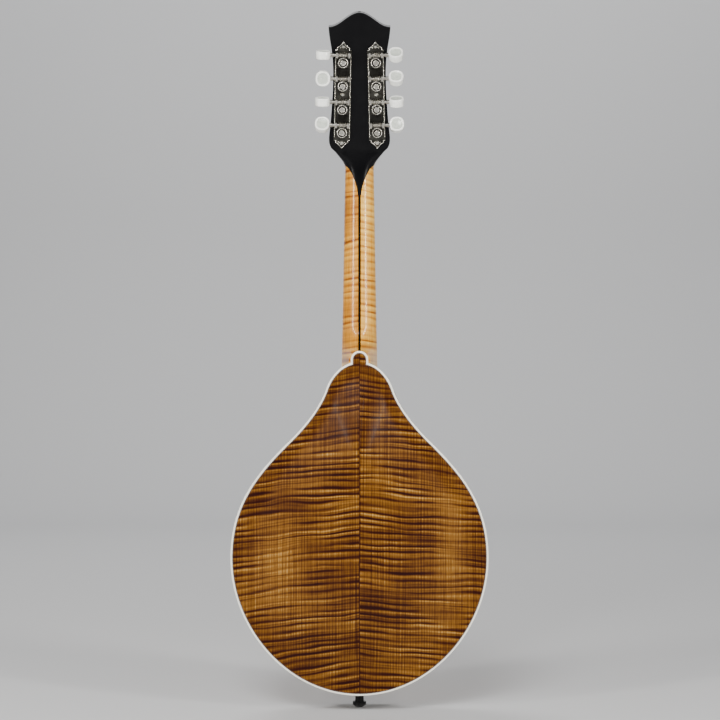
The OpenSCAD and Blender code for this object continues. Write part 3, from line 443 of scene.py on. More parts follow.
def flamed_maple(name, seed, slope=0.0, wrap=False, neck=False, painted_highlight=None, light=0.0):
    """Varnished figured maple: thin dark lines side by side, across fine grain that runs lengthwise."""
    k = Mat(name, rough=0.34, Coat_Weight=0.5 if neck else 0.05, Coat_Roughness=0.04 if neck else 0.3,
            Specular_IOR_Level=0.35 if neck else 0.13)
    x, y, z = k.xyz(k.mm())
    if wrap:                                    # the bent sides: measured round the outline
        u, v = y, k.mul(k.math("ARCTAN2", x, k.plus(z, 385.0)), 125.0)
    else:
        u, v = (x if neck else k.math("ABSOLUTE", x)), z
    at = lambda p, q, d=0.0: k.vec(k.mul(u, p), k.mul(v, q), seed + d)
    wob = k.noise(at(0.012, 0.011), detail=1)
    fidget = k.noise(at(0.03, 0.10, 3.7), detail=2)
    c = k.plus(v, k.mul(u, slope))
    c = k.swing(wob, 11.0, c)
    c = k.swing(fidget, 3.6, c)
    flow = lambda p, q, d: k.noise(k.vec(k.mul(u, p), k.mul(c, q), seed + d), detail=1)
    # regular dark lines whose strength comes and goes, a bright edge beside each, and finer ones between
    turn = k.mad(flow(0.01, 0.05, 6.1), 7.0, k.mul(c, 2 * math.pi / FLAME))
    line = k.peaks(turn, 3.2)
    edge = k.peaks(k.plus(turn, 2.3), 3.0)
    fine_line = k.peaks(k.mad(turn, 2.37, 1.0), 2.0)
    strength = k.ramp(flow(0.022, 0.085, 1.3), [(0.34, 0.12), (0.52, 0.6), (0.68, 1.0)])
    fine_strength = k.ramp(flow(0.03, 0.11, 8.3), [(0.42, 0.0), (0.62, 1.0)])
    broad = flow(0.014, 0.05, 9.7)
    g = y if wrap else x
    fibre = k.noise(k.vec(k.mul(g, 0.62), k.mul(v, 0.006), seed), detail=2, rough=0.75)
    fine = k.noise(k.vec(k.mul(g, 2.4), k.mul(v, 0.1), seed), detail=1)
    drift = k.noise(k.vec(k.mul(g, 0.05), k.mul(v, 0.006), seed + 2.0), detail=1)
    weave = k.math("SINE", k.mad(drift, 14.0, k.mul(g, 2 * math.pi / WEAVE)))
    patch = k.noise(at(0.011, 0.012, 3.3), detail=1)
    s = 0.6 if neck else 1.0
    # light lifts the whole tone: painted light, for the neck half on which more lamp light falls
    lum = k.swing(patch, 0.34, 0.55 + light)
    fade = strength
    if painted_highlight:                                    # painted highlight: a golden patch where the side lamps' broad reflection falls on the arched back, with the flame faded under it
        (gx, gz), (rx, rz) = painted_highlight
        dx = k.math("DIVIDE", k.minus(x, gx), rx)
        dz = k.math("DIVIDE", k.minus(z, gz), rz)
        d2 = k.plus(k.mul(dx, dx), k.mul(dz, dz))
        warm = k.math("EXPONENT", k.mul(d2, -1.0))
        fade = k.mul(strength, k.mad(warm, -0.75, 1.0))
        lum = k.mad(warm, 0.17, lum)
    lum = k.mad(k.mul(line, fade), -0.62 * s, lum)
    lum = k.mad(k.mul(edge, fade), 0.26 * s, lum)
    lum = k.mad(k.mul(fine_line, fine_strength), -0.14 * s, lum)
    lum = k.swing(broad, 0.46 * s, lum)
    lum = k.swing(fibre, 0.45 if neck else 0.55, lum)
    lum = k.mad(weave, 0.01 if neck else 0.055, lum)
    lum = k.swing(fine, 0.26, lum)
    if not wrap and not neck:                   # the glue line, and a dark streak beside it low down
        ax = k.math("ABSOLUTE", x)
        seam = k.minus(1.0, k.mul(ax, 1.5), clamp=True)
        lum = k.mad(seam, -0.5, lum)
        if slope > 0.1:
            beside = k.ramp(k.math("ABSOLUTE", k.minus(x, 3.2)), [(0.0, 1.0), (1.0, 0.0)])
            low = k.ramp(k.mad(z, -0.01, -3.9), [(0.0, 0.0), (0.2, 1.0), (0.8, 1.0), (1.0, 0.0)])
            lum = k.mad(k.mul(beside, low), -0.3, lum)
    if neck:
        stops = [(0.0, srgb(84, 32, 0)), (0.3, srgb(140, 76, 8)), (0.6, srgb(204, 138, 38)),
                 (1.0, srgb(255, 212, 104))]
    else:
        stops = [(0.0, srgb(30, 1, 0)), (0.25, srgb(46, 12, 0)), (0.5, srgb(78, 43, 7)),
                 (0.75, srgb(120, 79, 25)), (1.0, srgb(180, 138, 72))]
    wood = k.ramp(lum, stops)
    if neck:                                    # the headstock's edges are lacquered black
        wood = k.mix(k.mad(z, 0.7, -1.4, clamp=True), wood, (0.0025, 0.0025, 0.003))
    k.colour(wood)
    k.rough(k.mad(fibre, 0.16, 0.22 if neck else 0.3))
    k.bump(k.plus(fine, k.mul(line, 0.3)), 0.00010, 0.2)
    return k.m


def spruce(name):
    k = Mat(name, rough=0.3, Coat_Weight=0.5, Coat_Roughness=0.09)
    x, y, z = k.xyz(k.mm())
    ax = k.math("ABSOLUTE", x)
    wander = k.noise(k.vec(k.mul(x, 0.01), k.mul(z, 0.006), 4.0), detail=1)
    g = k.mad(wander, 3.0, ax)
    ring = k.math("SINE", k.mul(k.math("POWER", g, 0.93), 6.4))
    line = k.ramp(ring, [(0.0, 0.0), (0.55, 0.08), (0.92, 1.0), (1.0, 0.55)])
    silk = k.noise(k.vec(k.mul(x, 0.05), k.mul(z, 0.5), 2.0), detail=2)
    pore = k.noise(k.vec(k.mul(x, 3.2), k.mul(z, 0.05), 1.0), detail=2)
    tone = k.noise(k.vec(k.mul(x, 0.012), k.mul(z, 0.008), 7.0), detail=2)
    base = k.mix(tone, srgb(196, 128, 58), srgb(222, 164, 92))
    base = k.mix(k.mul(line, 0.55), base, srgb(140, 78, 28))
    base = k.mix(k.ramp(silk, [(0.5, 0.0), (0.75, 0.3)]), base, srgb(236, 190, 122))
    base = k.mix(k.ramp(pore, [(0.55, 0.0), (0.8, 0.35)]), base, srgb(150, 92, 40))
    seam = k.minus(1.0, k.mul(ax, 2.5), clamp=True)
    k.colour(k.mix(k.mul(seam, 0.6), base, srgb(92, 50, 20)))
    k.rough(k.mad(pore, 0.14, 0.22))
    k.bump(k.plus(line, pore), 0.0001, 0.25)
    return k.m


def raw_wood(name, c1, c2):
    k = Mat(name, rough=0.7)
    x, y, z = k.xyz(k.mm())
    n = k.stretched((x, y, z), (0.8, 0.8, 0.05), 4)
    k.colour(k.ramp(n, [(0.3, c1), (0.7, c2)]))
    k.rough(k.mad(n, 0.25, 0.5))
    k.bump(n, 0.0003, 0.3)
    return k.m


def dark_wood(name):
    k = Mat(name, rough=0.42, Specular_IOR_Level=0.45)
    x, y, z = k.xyz(k.mm())
    n = k.stretched((x, y, z), (1.6, 1.6, 0.05), 5, 0.65)
    pores = k.stretched((x, y, z), (4.5, 4.5, 0.25), 2)
    base = k.ramp(n, [(0.35, srgb(13, 11, 10)), (0.6, srgb(26, 21, 18)), (0.8, srgb(44, 32, 24))])
    k.colour(k.mix(k.ramp(pores, [(0.62, 0.0), (0.75, 0.6)]), base, srgb(5, 4, 4)))
    k.rough(k.mad(n, 0.3, 0.26))
    k.bump(pores, 0.00015, 0.35)
    return k.m


def lacquer(name, colour, rough=0.16, speck=0.02):
    k = Mat(name, colour, rough, Specular_IOR_Level=0.1)
    o = k.mm()
    haze = k.noise(o, 0.05, 3)
    lint = k.noise(o, 0.9, 2)
    k.colour(k.mix(k.ramp(haze, [(0.3, 0.0), (0.8, 1.0)]), colour, tuple(c + speck for c in colour)))
    k.rough(k.mad(haze, 0.12, rough - 0.04))
    k.bump(lint, 0.00006, 0.12)
    return k.m


def metal(name, colour, dark, rough=0.22, worn=0.5, brushed=(0.4, 0.4, 6.0)):
    k = Mat(name, colour, rough, 1.0)
    o = k.mm()
    stain = k.noise(o, 0.16, 4, 0.62)
    hair = k.noise(k.scaled(k.obj(), tuple(1000 * s for s in brushed)), 1.0, 2)
    k.colour(k.mix(k.ramp(stain, [(0.42, 0.0), (0.72, worn)]), colour, dark))
    k.rough(k.plus(k.mad(stain, 0.22, rough - 0.1), k.mul(hair, 0.08)))
    k.bump(hair, 0.00003, 0.15)
    return k.m


def wound(name):
    """Bronze wrap wire: close rings along the string's length."""
    k = Mat(name, srgb(170, 108, 62), 0.32, 1.0)
    o = k.mm()
    x, y, z = k.xyz(o)
    rings = k.math("SINE", k.mul(z, 2 * math.pi / 0.45))
    tarnish = k.noise(o, 0.08, 3)
    k.colour(k.mix(tarnish, srgb(188, 124, 74), srgb(120, 72, 42)))
    k.bump(rings, 0.00008, 0.6)
    return k.m


def ivory(name, c1, c2, rough=0.3):
    """Cream celluloid binding, a little yellowed, with faint grained lines."""
    k = Mat(name, c1, rough, Coat_Weight=0.4, Coat_Roughness=0.08)
    o = k.mm()
    tone = k.noise(o, 0.02, 3)
    x, y, z = k.xyz(o)
    lines = k.stretched((x, y, z), (0.05, 1.8, 0.05), 2)
    k.colour(k.mix(tone, k.mix(lines, c1, c2), c2))
    k.rough(k.mad(tone, 0.15, rough - 0.06))
    k.bump(lines, 0.00005, 0.12)
    return k.m


def pearl(name, white, grey, tint, cell, rough=0.2):
    """Swirled pearl: soft cells of white, grey and a cooler tint."""
    c1, c2, c3 = srgb(*white), srgb(*grey), srgb(*tint)
    k = Mat(name, c1, rough, Coat_Weight=0.7, Coat_Roughness=0.04, Subsurface_Weight=0.0)
    o = k.mm()
    bend = k.t.nodes.new("ShaderNodeTexNoise")
    k.feed(bend.inputs["Vector"], o)
    bend.inputs["Scale"].default_value = 0.35
    mixv = k.t.nodes.new("ShaderNodeVectorMath")
    mixv.operation = "MULTIPLY_ADD"
    k.t.links.new(bend.outputs["Color"], mixv.inputs[0])
    mixv.inputs[1].default_value = (3, 3, 3)
    k.t.links.new(o, mixv.inputs[2])
    cells = k.t.nodes.new("ShaderNodeTexVoronoi")
    cells.feature = "SMOOTH_F1"
    k.t.links.new(mixv.outputs[0], cells.inputs["Vector"])
    cells.inputs["Scale"].default_value = cell
    shade_ = k.noise(mixv.outputs[0], 0.6, 3)
    tone = k.ramp(cells.outputs["Distance"], [(0.1, 0.0), (0.7, 1.0)])
    k.colour(k.mix(k.ramp(shade_, [(0.45, 0.0), (0.7, 0.7)]), k.mix(tone, c1, c2), c3))
    k.bump(tone, 0.00004, 0.15)
    return k.m


M = {
    # each back half carries a painted highlight, a golden patch where the side lamps' reflection falls
    "back_bass": flamed_maple("maple_back_bass", 11.0, 0.075, painted_highlight=((-90, -378), (17, 58))),
    "back_treble": flamed_maple("maple_back_treble", 2.0, 0.112, painted_highlight=((80, -398), (24, 42))),
    "ribs": flamed_maple("maple_sides", 21.0, 0.05, wrap=True),
    "neck": flamed_maple("maple_neck", 31.0, 0.12, neck=True),
    # the bass half of the neck is painted lighter, as the side the light falls on
    "neck_painted_lit": flamed_maple("maple_neck_painted_lit", 37.0, -0.12, neck=True, light=0.2),
    "spruce": spruce("spruce_top"),
    "raw": raw_wood("bare_wood", srgb(206, 168, 118), srgb(228, 196, 150)),
    "ebony": dark_wood("ebony"),
    "black": lacquer("black_lacquer", (0.0025, 0.0025, 0.003), 0.22, 0.002),
    "plastic": lacquer("black_plastic", (0.006, 0.006, 0.0065), 0.3, 0.004),
    "cream": ivory("cream_binding", srgb(250, 249, 242), srgb(240, 237, 224)),
    "binding_grey_band": lacquer("grey_band", srgb(92, 84, 78), 0.4, 0.02),
    "bone": ivory("bone", srgb(236, 230, 212), srgb(214, 204, 178), 0.42),
    "pearl": pearl("pearl_dots", (226, 228, 224), (190, 202, 200), (214, 196, 204), 0.5),
    "pearloid": pearl("pearloid_buttons", (254, 254, 250), (244, 246, 240), (232, 236, 230), 0.3, 0.24),
    # painted shade for the buttons' dished middles
    "pearl_painted_shade": pearl("pearloid_painted_shade", (206, 211, 202), (188, 194, 185), (172, 178, 170), 0.3),
    "nickel": metal("nickel_plate", srgb(196, 193, 184), srgb(120, 114, 102), 0.24),
    "cover": metal("nickel_cover", srgb(208, 206, 200), srgb(168, 164, 156), 0.2, 0.3, (0.3, 6.0, 0.3)),
    # painted reflection: the tuner plates' nickel is coloured dark, as if mirroring a dark room; its stains
    # are real wear
    "dark_nickel": metal("aged_nickel_painted_dark", srgb(74, 73, 68), srgb(24, 23, 21), 0.36, 0.9),
    "panel": metal("dark_panel", srgb(44, 43, 40), srgb(16, 15, 14), 0.45, 0.9),
    "bead": metal("bright_nickel", srgb(226, 224, 214), srgb(150, 146, 134), 0.2, 0.6),
    "fret_wire": metal("nickel_silver", srgb(205, 200, 186), srgb(150, 142, 124), 0.22, 0.3),
    "steel": metal("steel", srgb(200, 202, 204), srgb(120, 122, 124), 0.2, 0.3),
    "brass": metal("brass", srgb(206, 168, 92), srgb(128, 92, 40), 0.26, 0.5),
    "bronze": wound("bronze_wrap"),
}


def paint(node, key):
    ob = NODES[node]
    if not ob.data.materials:
        ob.data.materials.append(M[key])
    for s in ob.material_slots:
        s.link = "OBJECT"
        s.material = M[key]


# ---------------------------------------------------------------- body outline
OUTLINE = [((0, 0), (70, 0), (127, 65), (127, 135.5)),
           ((127, 135.5), (127, 186.5), (103, 217), (70, 249.5)),
           ((70, 249.5), (62.3, 257), (42.3, 277), (33.5, 300)),
           ((33.5, 300), (30, 311.5), (19, BODY_LEN), (0, BODY_LEN))]
STEPS = (12, 9, 5, 7)
DENSE = 5
SIDE_N = sum(STEPS)


def bez(p, t):
    w = ((1 - t) ** 3, 3 * (1 - t) ** 2 * t, 3 * (1 - t) * t * t, t ** 3)
    return tuple(sum(wi * q[k] for wi, q in zip(w, p)) for k in (0, 1))


SIDE = [bez(curve, i / (n * DENSE)) for curve, n in zip(OUTLINE, STEPS) for i in range(n * DENSE)]
SIDE = [(x, z + TAIL_Z) for x, z in SIDE + [(0, BODY_LEN)]]


def inset_side(d):
    out, n = [], len(SIDE) - 1
    for i, p in enumerate(SIDE):
        a = (-SIDE[1][0], SIDE[1][1]) if i == 0 else SIDE[i - 1]
        b = (-SIDE[n - 1][0], SIDE[n - 1][1]) if i == n else SIDE[i + 1]
        t = np.array(b) - np.array(a)
        t = t / np.linalg.norm(t)
        q = (p[0] - d * t[1], p[1] + d * t[0])
        out.append((0.0 if i in (0, n) else q[0], q[1]))
    return out


def crossing(line, x0):
    """Real-valued index at which a side line last comes down to x = x0, near the neck."""
    for i in range(len(line) - 1, 0, -1):
        if line[i][0] <= x0 < line[i - 1][0]:
            return i - (x0 - line[i][0]) / (line[i - 1][0] - line[i][0])
    return len(line) - 1


def at_index(line, t):
    i = min(int(t), len(line) - 2)
    f = t - i
    return (lerp(line[i][0], line[i + 1][0], f), lerp(line[i][1], line[i + 1][1], f))


def button_line(inset):
    """Side line from the tail to the heel button's top, and each point's place along the edge, 0 to 33."""
    n_side, n_up, n_arc = 170, 4, 16
    line, r = inset_side(inset), BUTTON_R - inset
    stop = crossing(line, r)
    pts, place = [], []
    for j in range(n_side + 1):
        t = stop * j / n_side
        pts.append(at_index(line, t))
        place.append(t / DENSE)
    z0, base = pts[-1][1], place[-1]
    for j in range(1, n_up + 1):
        pts.append((r, lerp(z0, BUTTON_Z, j / n_up)))
        place.append(lerp(base, SIDE_N - 4, j / n_up))
    for j in range(1, n_arc + 1):
        a = math.pi / 2 * j / n_arc
        pts.append((r * math.cos(a), BUTTON_Z + r * math.sin(a)))
        place.append(lerp(SIDE_N - 4, SIDE_N, j / n_arc))
    pts[0] = (0.0, pts[0][1])
    pts[-1] = (0.0, pts[-1][1])
    return pts, place


SPINE = ((0.0, TAIL_Z + 118), (0.0, TAIL_Z + 232))
U = [0, 0.012, 0.03, 0.05, 0.075, 0.1, 0.13, 0.16, 0.2, 0.24, 0.29, 0.34, 0.4, 0.46, 0.53, 0.6, 0.69, 0.78,
     0.86, 0.94, 1.0]


def arch(u, rise):
    return rise * (1 - math.cos(math.pi * clamp01((u - 0.1) / 0.9) ** 0.75)) / 2 \
        - 0.5 * math.sin(math.pi * clamp01(u / 0.24))


def inner_arch(u, rise):
    return -EDGE_T if u <= 0.1 else arch(u, rise) - lerp(3.2, 4.6, smooth(u / 0.8))


def plate_half(pts, place, rise, y0, sign, side):
    loops = []
    for p, s in zip(pts, place):
        c = (0.0, lerp(SPINE[0][1], SPINE[1][1], clamp01(s / SIDE_N)))
        over = p[1] - CROWN_Z + BIND_W + 0.3
        flat = over / (p[1] - c[1]) if over > 0 else 0.0     # share of the line that lies on the heel button
        t = [clamp01((u - flat) / (1 - flat)) for u in U]
        outer = [(side * lerp(p[0], c[0], u), y0 + sign * arch(t[i], rise), lerp(p[1], c[1], u))
                 for i, u in enumerate(U)]
        inner = [(side * lerp(p[0], c[0], u), y0 + sign * inner_arch(t[i], rise), lerp(p[1], c[1], u))
                 for i, u in enumerate(U)]
        loops.append(outer + inner[::-1])
    return loft(loops)


def cut(ob, *cutters, angle=32):
    """Cuts closed meshes out of ob, and drops the cutters."""
    for c in cutters:
        m = ob.modifiers.new("cut", "BOOLEAN")
        m.operation, m.solver, m.object = "DIFFERENCE", "EXACT", c
    bpy.context.view_layer.update()
    dg = bpy.context.evaluated_depsgraph_get()
    me = bpy.data.meshes.new_from_object(ob.evaluated_get(dg))
    ob.modifiers.clear()
    old, ob.data = ob.data, me
    bpy.data.meshes.remove(old)
    for c in cutters:
        bpy.data.objects.remove(c)
    shade(me, angle)
    return ob


def prism(name, poly, y1, y2):
    """A closed prism along Y from a polygon in X and Z."""
    v, f = loft([[(x, y1, z) for x, z in poly], [(x, y2, z) for x, z in poly]])
    return make(name, v, f, None)


def box_mesh(name, a, b):
    return prism(name, [(a[0], a[2]), (b[0], a[2]), (b[0], b[2]), (a[0], b[2])], a[1], b[1])


def body():
    pts, place = button_line(BIND_W)
    place = [SIDE_N * smooth(t / SIDE_N) for t in place]       # no ridge where the halves meet
    for side, word in ((BASS, "bass"), (TREBLE, "treble")):
        v, f = plate_half(pts, place, BACK_RISE, BACK_Y, 1, side)
        make(f"carved_back_plate_{word}", v, f, "instrument", (f"back_plate_{word}",), "maple_body",
             (M["back_" + word],), angle=40)
    edge = inset_side(BIND_W)
    places = [i / DENSE for i in range(len(edge))]
    tops = []
    for side, name in ((TREBLE, "carved_top"), (BASS, "carved_top_bass")):
        top = make(name, *plate_half(edge, places, TOP_RISE, TOP_Y, -1, side), None, mats=(M["spruce"],))
        tops.append(cut(top, *sound_hole(side), angle=38))
    for ob in tops:
        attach(ob, "instrument")
    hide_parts("top_plate")
    binding_rings()


HOLE_Y, EYE_R = (-60, 10), 3.4
HOLE = [((56, 212), (54, 233), (73, 234), (71, 206)), ((71, 206), (70, 190), (74, 166), (73, 149)),
        ((73, 149), (71, 121), (91, 120), (90, 140))]


def sound_hole(side):
    """Cutters for one f-shaped hole: a stroke of changing width, its two round ends and one nick."""
    n = 42
    third = n // 3
    mid = [bez(HOLE[i // third], (i % third) / third) for i in range(n)] + [bez(HOLE[2], 1.0)]
    left, right = [], []
    for i, p in enumerate(mid):
        a, b = np.array(mid[max(i - 1, 0)]), np.array(mid[min(i + 1, n)])
        t = (b - a) / np.linalg.norm(b - a)
        r = 1 + 2.1 * math.sin(math.pi * clamp01(i / (n * 20 / 21))) ** 1.5 if i < n else 1.0
        left.append((p[0] - t[1] * r, p[1] + t[0] * r))
        right.append((p[0] + t[1] * r, p[1] - t[0] * r))
    poly = left + right[::-1]
    out = [prism("hole", [(side * x, z + TAIL_Z) for x, z in poly], *HOLE_Y)]
    for c in (HOLE[0][0], HOLE[2][3]):
        ring = [(side * (c[0] + EYE_R * math.cos(rad(a))), c[1] + TAIL_Z + EYE_R * math.sin(rad(a)))
                for a in range(0, 360, 15)]
        out.append(prism("eye", ring, *HOLE_Y))
    cs, sn = math.cos(rad(12)), math.sin(rad(12))
    slot = ((-4.5, -0.6), (4.5, -0.6), (4.5, 0.6), (-4.5, 0.6))
    nick = [(x * cs - z * sn, x * sn + z * cs) for x, z in slot]
    out.append(prism("nick", [(side * (71.5 + x), TAIL_Z + 176 + z) for x, z in nick], *HOLE_Y))
    return out


def ring_section(y_in, y_out):
    """Binding's section as (depth from the outside, y), with the outer corner rounded; y_out is the face."""
    s = 1 if y_out > y_in else -1
    r = 0.9
    sec = [(0.0, y_in)]
    sec += [(r - r * math.cos(rad(a)), y_out - s * (r - r * math.sin(rad(a)))) for a in range(0, 91, 18)]
    return sec + [(1.8, y_out), (1.86, y_out - s * 0.05), (2.54, y_out - s * 0.05), (2.6, y_out), (2.6, y_in)]


def binding_rings():
    rings = (("binding_back", lambda d: button_line(d)[0], RIB_BACK, BACK_Y),
             ("binding_top", inset_side, RIB_FRONT, TOP_Y))
    for name, line, y_in, y_out in rings:
        half = list(zip(line(0.0), line(BIND_W)))
        ring = [(o, i, 1) for o, i in half] + [(o, i, -1) for o, i in half[-2:0:-1]]
        loops = []
        for o, i, s in ring:
            loops.append([(s * lerp(o[0], i[0], d / BIND_W), y, lerp(o[1], i[1], d / BIND_W))
                          for d, y in ring_section(y_in, y_out)])
        k = len(loops[0])
        v, f = loft(loops + [loops[0]], True, False)
        # the inner part of each binding's face is coloured as a grey band
        dark = [1 if (idx % k) in (k - 5, k - 4, k - 3) else 0 for idx in range(len(f))]
        make(name, v, f, "instrument", ("body_binding",), "binding", (M["cream"], M["binding_grey_band"]), dark, 30)


body()


# ---------------------------------------------------------------- neck and headstock
HEEL_START, HEEL_END, DART_TIP = -162.0, -184.8, -30.0
FACE_T, STRAP_T = 2.0, 2.0
W = STRIP_W / 2
CORE_BACK = HEAD_T - STRAP_T


def board_half(z):
    h = lerp(NUT_W, HEEL_W, clamp01(-z / JOINT_L)) / 2
    return h + ((-z - JOINT_L) * (HEEL_W - NUT_W) / JOINT_L / 2 if z < -JOINT_L else 0)


def heel_t(z):
    return clamp01((HEEL_START - z) / (HEEL_START - HEEL_END))


def half_width(z):
    return board_half(z) if z < -4 else NUT_W / 2 + 15.8 * smooth((z + 4) / 28)


def heel_half(z):
    if z > HEEL_END:
        return 0.0
    d = z - HEEL_END + BUTTON_R if HEEL_END - BUTTON_R - z < 0 else 0
    return math.sqrt(max(0.1, BUTTON_R ** 2 - d * d))


def head_back(z):
    return (z - HEAD_START) * math.tan(rad(HEAD_ANGLE)) - HEAD_DROP + HEAD_T / math.cos(rad(HEAD_ANGLE))


def soft_max(a, b, k):
    return (a + b + math.sqrt((a - b) ** 2 + k * k)) / 2


def depth(z):
    if z > HEEL_START:
        return soft_max(NECK_D + clamp01(-z / 160) * 3, head_back(z), 1.8 * clamp01((12 - z) / 12))
    return NECK_D + 3 + 38 * (1 - math.sqrt(max(0.0, 1 - heel_t(z) ** 2)))


def front(z):
    if z <= HEAD_START:
        return 0.0
    return (z - HEAD_START) * math.tan(rad(HEAD_ANGLE)) - HEAD_DROP + FACE_T / math.cos(rad(HEAD_ANGLE))


def side_power(z):
    return lerp(1, 0.3, smooth((z + 14) / 27)) if z > -14 else lerp(1, 1.7, heel_t(z))


def back_power(z):
    return lerp(1, 0.2, smooth((z + 14) / 27)) if z > -14 else lerp(1, 1.9, heel_t(z))


def section_pt(z, phi):
    c, s = max(0.0, math.cos(rad(phi))), max(0.0, math.sin(rad(phi)))
    return (heel_half(z) + (half_width(z) - heel_half(z)) * c ** side_power(z),
            front(z) + (depth(z) - front(z)) * s ** back_power(z))


def phi_at(z, x):
    t = clamp01((x - heel_half(z)) / (half_width(z) - heel_half(z)))
    return math.degrees(math.acos(t ** (1 / side_power(z))))


def dart_half(z):
    spread = W + 0.5 + 13.3 * max(0.0, (z - DART_TIP) / 33) ** 1.75 + 2.4 * smooth((z + 5) / 6) + max(0.0, z)
    return min(0.985 * half_width(z), spread)


def strap_drop(z):
    return 0.05 if z < DART_TIP else 0.3 + (STRAP_T - 0.3) * smooth((z - DART_TIP) / 12)


def inner_phi(z):
    return phi_at(z, max(W + 0.25, heel_half(z)))


def outer_phi(z):
    return inner_phi(z) - 2 if z < DART_TIP else max(9.0, phi_at(z, dart_half(z)))


def back_at(z, x):
    return depth(z) if heel_half(z) >= x else section_pt(z, phi_at(z, x))[1]


DART_N, SIDE_C = 6, 18


def across(z, a, b, n, drop):
    out = []
    for j in range(n + 1):
        p = section_pt(z, lerp(a, b, j / n))
        out.append((p[0], p[1] - drop, z))
    return out


def neck_loop(z):
    return [(W, front(z), z), (W, back_at(z, W) - strap_drop(z), z)] \
        + across(z, inner_phi(z), outer_phi(z), DART_N, strap_drop(z)) \
        + across(z, outer_phi(z), 0, SIDE_C, 0)


HEAD_SIDE = [(30.2, 23), (30.1, 27), (28.8, 38), (27.5, 54), (26.4, 70), (25.8, 88), (26.2, 102),
             (27.3, 112.5), (29.4, 126), (30.2, HEAD_TOP)]


def head_half(z):
    if z <= 23:
        return half_width(3 + 0.98 * z)
    for i in range(len(HEAD_SIDE) - 1):
        (x0, z0), (x1, z1) = HEAD_SIDE[i], HEAD_SIDE[i + 1]
        if z <= z1:
            xa, za = HEAD_SIDE[i - 1] if i else (29.6, 20)
            xb, zb = HEAD_SIDE[i + 2] if i + 2 < len(HEAD_SIDE) else (x1 + 0.1, z1 + 4)
            m0, m1 = (x1 - xa) / (z1 - za), (xb - x0) / (zb - z0)
            h, t = z1 - z0, (z - z0) / (z1 - z0)
            return ((2 * t ** 3 - 3 * t * t + 1) * x0 + (t ** 3 - 2 * t * t + t) * h * m0
                    + (-2 * t ** 3 + 3 * t * t) * x1 + (t ** 3 - t * t) * h * m1)
    return HEAD_SIDE[-1][0]


def crest(x):
    return HEAD_TOP + (HEAD_LEN - HEAD_TOP) * (1 + math.cos(math.pi * min(1, x / 29.8))) / 2


def head_rows(z0):
    sides = [lerp(z0, HEAD_TOP, i / 44) for i in range(45)]
    top = [x / 2 for x in range(58, 3, -2)] + [1.6]
    return [(head_half(z), z) for z in sides] + [(x, crest(x)) for x in top]


ROWS = head_rows(15)
NECK_ZS = sorted(set([-206, -201, -197, -193.5, -190.5, -188, -186.4, HEEL_END, DART_TIP - 0.4]
                     + [lerp(HEEL_END + 0.9, HEEL_START, i / 22) for i in range(23)]
                     + [lerp(HEEL_START, DART_TIP - 1.5, i / 26) for i in range(27)]))
DART_ZS = [lerp(DART_TIP, 12, i / 40) for i in range(41)]


def head_loop(row):
    h, z = row
    pts = [(W, FACE_T), (W, CORE_BACK)]
    pts += [(lerp(W, h, 0.1 + 0.9 * j / DART_N), CORE_BACK) for j in range(DART_N + 1)]
    pts += [(h, lerp(CORE_BACK - 0.02, FACE_T, j / SIDE_C)) for j in range(SIDE_C + 1)]
    return [head_to_neck((x, y, z)) for x, y in pts]


def strap_row(z, drop):
    h = [(0.0, back_at(z, W) - drop, z)] + across(z, inner_phi(z), outer_phi(z), DART_N, drop)
    return [(-p[0], p[1], z) for p in h[:0:-1]] + h


def strap_head_row(row, y):
    h = [lerp(W, row[0], 0.1 + 0.9 * j / DART_N) for j in range(DART_N + 1)]
    return [head_to_neck((x, y, row[1])) for x in [-a for a in h[::-1]] + [0.0] + h]


def to_world(loops, mirror=1):
    return [[neck_pt((mirror * p[0], p[1], p[2])) for p in l] for l in loops]


def neck():
    def cutters():
        outline = inset_side(-0.1)
        poly = outline + [(-x, z) for x, z in outline[-2:0:-1]]
        return [prism("body", poly[::3], -5.7, 75),
                box_mesh("button", (-60, RIB_BACK, -230), (60, 200, -150)),
                box_mesh("end", (-60, -60, -400), (60, 60, JOINT_Z - 1))]
    loops = [neck_loop(z) for z in NECK_ZS + DART_ZS] + [head_loop(r) for r in ROWS]
    for side, node, key in ((BASS, "neck_bass_side", "neck_painted_lit"), (TREBLE, "neck_treble_side", "neck")):
        v, f = loft(to_world(loops, side))
        ob = make("carved_" + node, v, f, None, mats=(M[key],), angle=30)
        cut(ob, *cutters(), angle=30)
        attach(ob, "instrument")
        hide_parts(node)
    # the dark strip down the middle
    zs = NECK_ZS + DART_ZS
    back = [(back_at(z, W) - strap_drop(z) + (0.04 if z < DART_TIP else 0), z) for z in zs]
    for y, z in ((CORE_BACK, 15), (CORE_BACK, HEAD_LEN - 0.3)):
        p = head_to_neck((0, y, z))
        back.append((p[1], p[2]))
    p = head_to_neck((0, FACE_T, HEAD_LEN - 0.3))
    poly = [(0, zs[0])] + back + [(p[1], p[2]), (front(4.6), 4.6), (0, 4.4)]
    v, f = loft([[neck_pt((s * W, y, z)) for y, z in poly] for s in (-1, 1)])
    strip = make("strip_centre", v, f, None, mats=(M["black"],), angle=25)
    cut(strip, *cutters(), angle=25)
    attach(strip, "instrument")
    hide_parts("neck_centre_strip")
    strap = [strap_row(z, 0) + strap_row(z, strap_drop(z))[::-1] for z in DART_ZS]
    strap += [strap_head_row(r, HEAD_T) + strap_head_row(r, CORE_BACK)[::-1] for r in ROWS]
    v, f = loft(to_world(strap))
    make("veneer_back", v, f, "instrument", ("headstock_backstrap",), "black_veneer", (M["black"],), angle=30)
    rows = head_rows(0.3)
    face = [[head_to_neck((s * x, y, z)) for s, x, y in ((-1, h, FACE_T), (-1, h, 0.4), (-1, h - 0.4, 0),
                                                         (1, h - 0.4, 0), (1, h, 0.4), (1, h, FACE_T))]
            for h, z in rows]
    v, f = loft(to_world(face))
    make("veneer_face", v, f, "instrument", ("headstock_face",), "black_veneer", (M["black"],), angle=30)


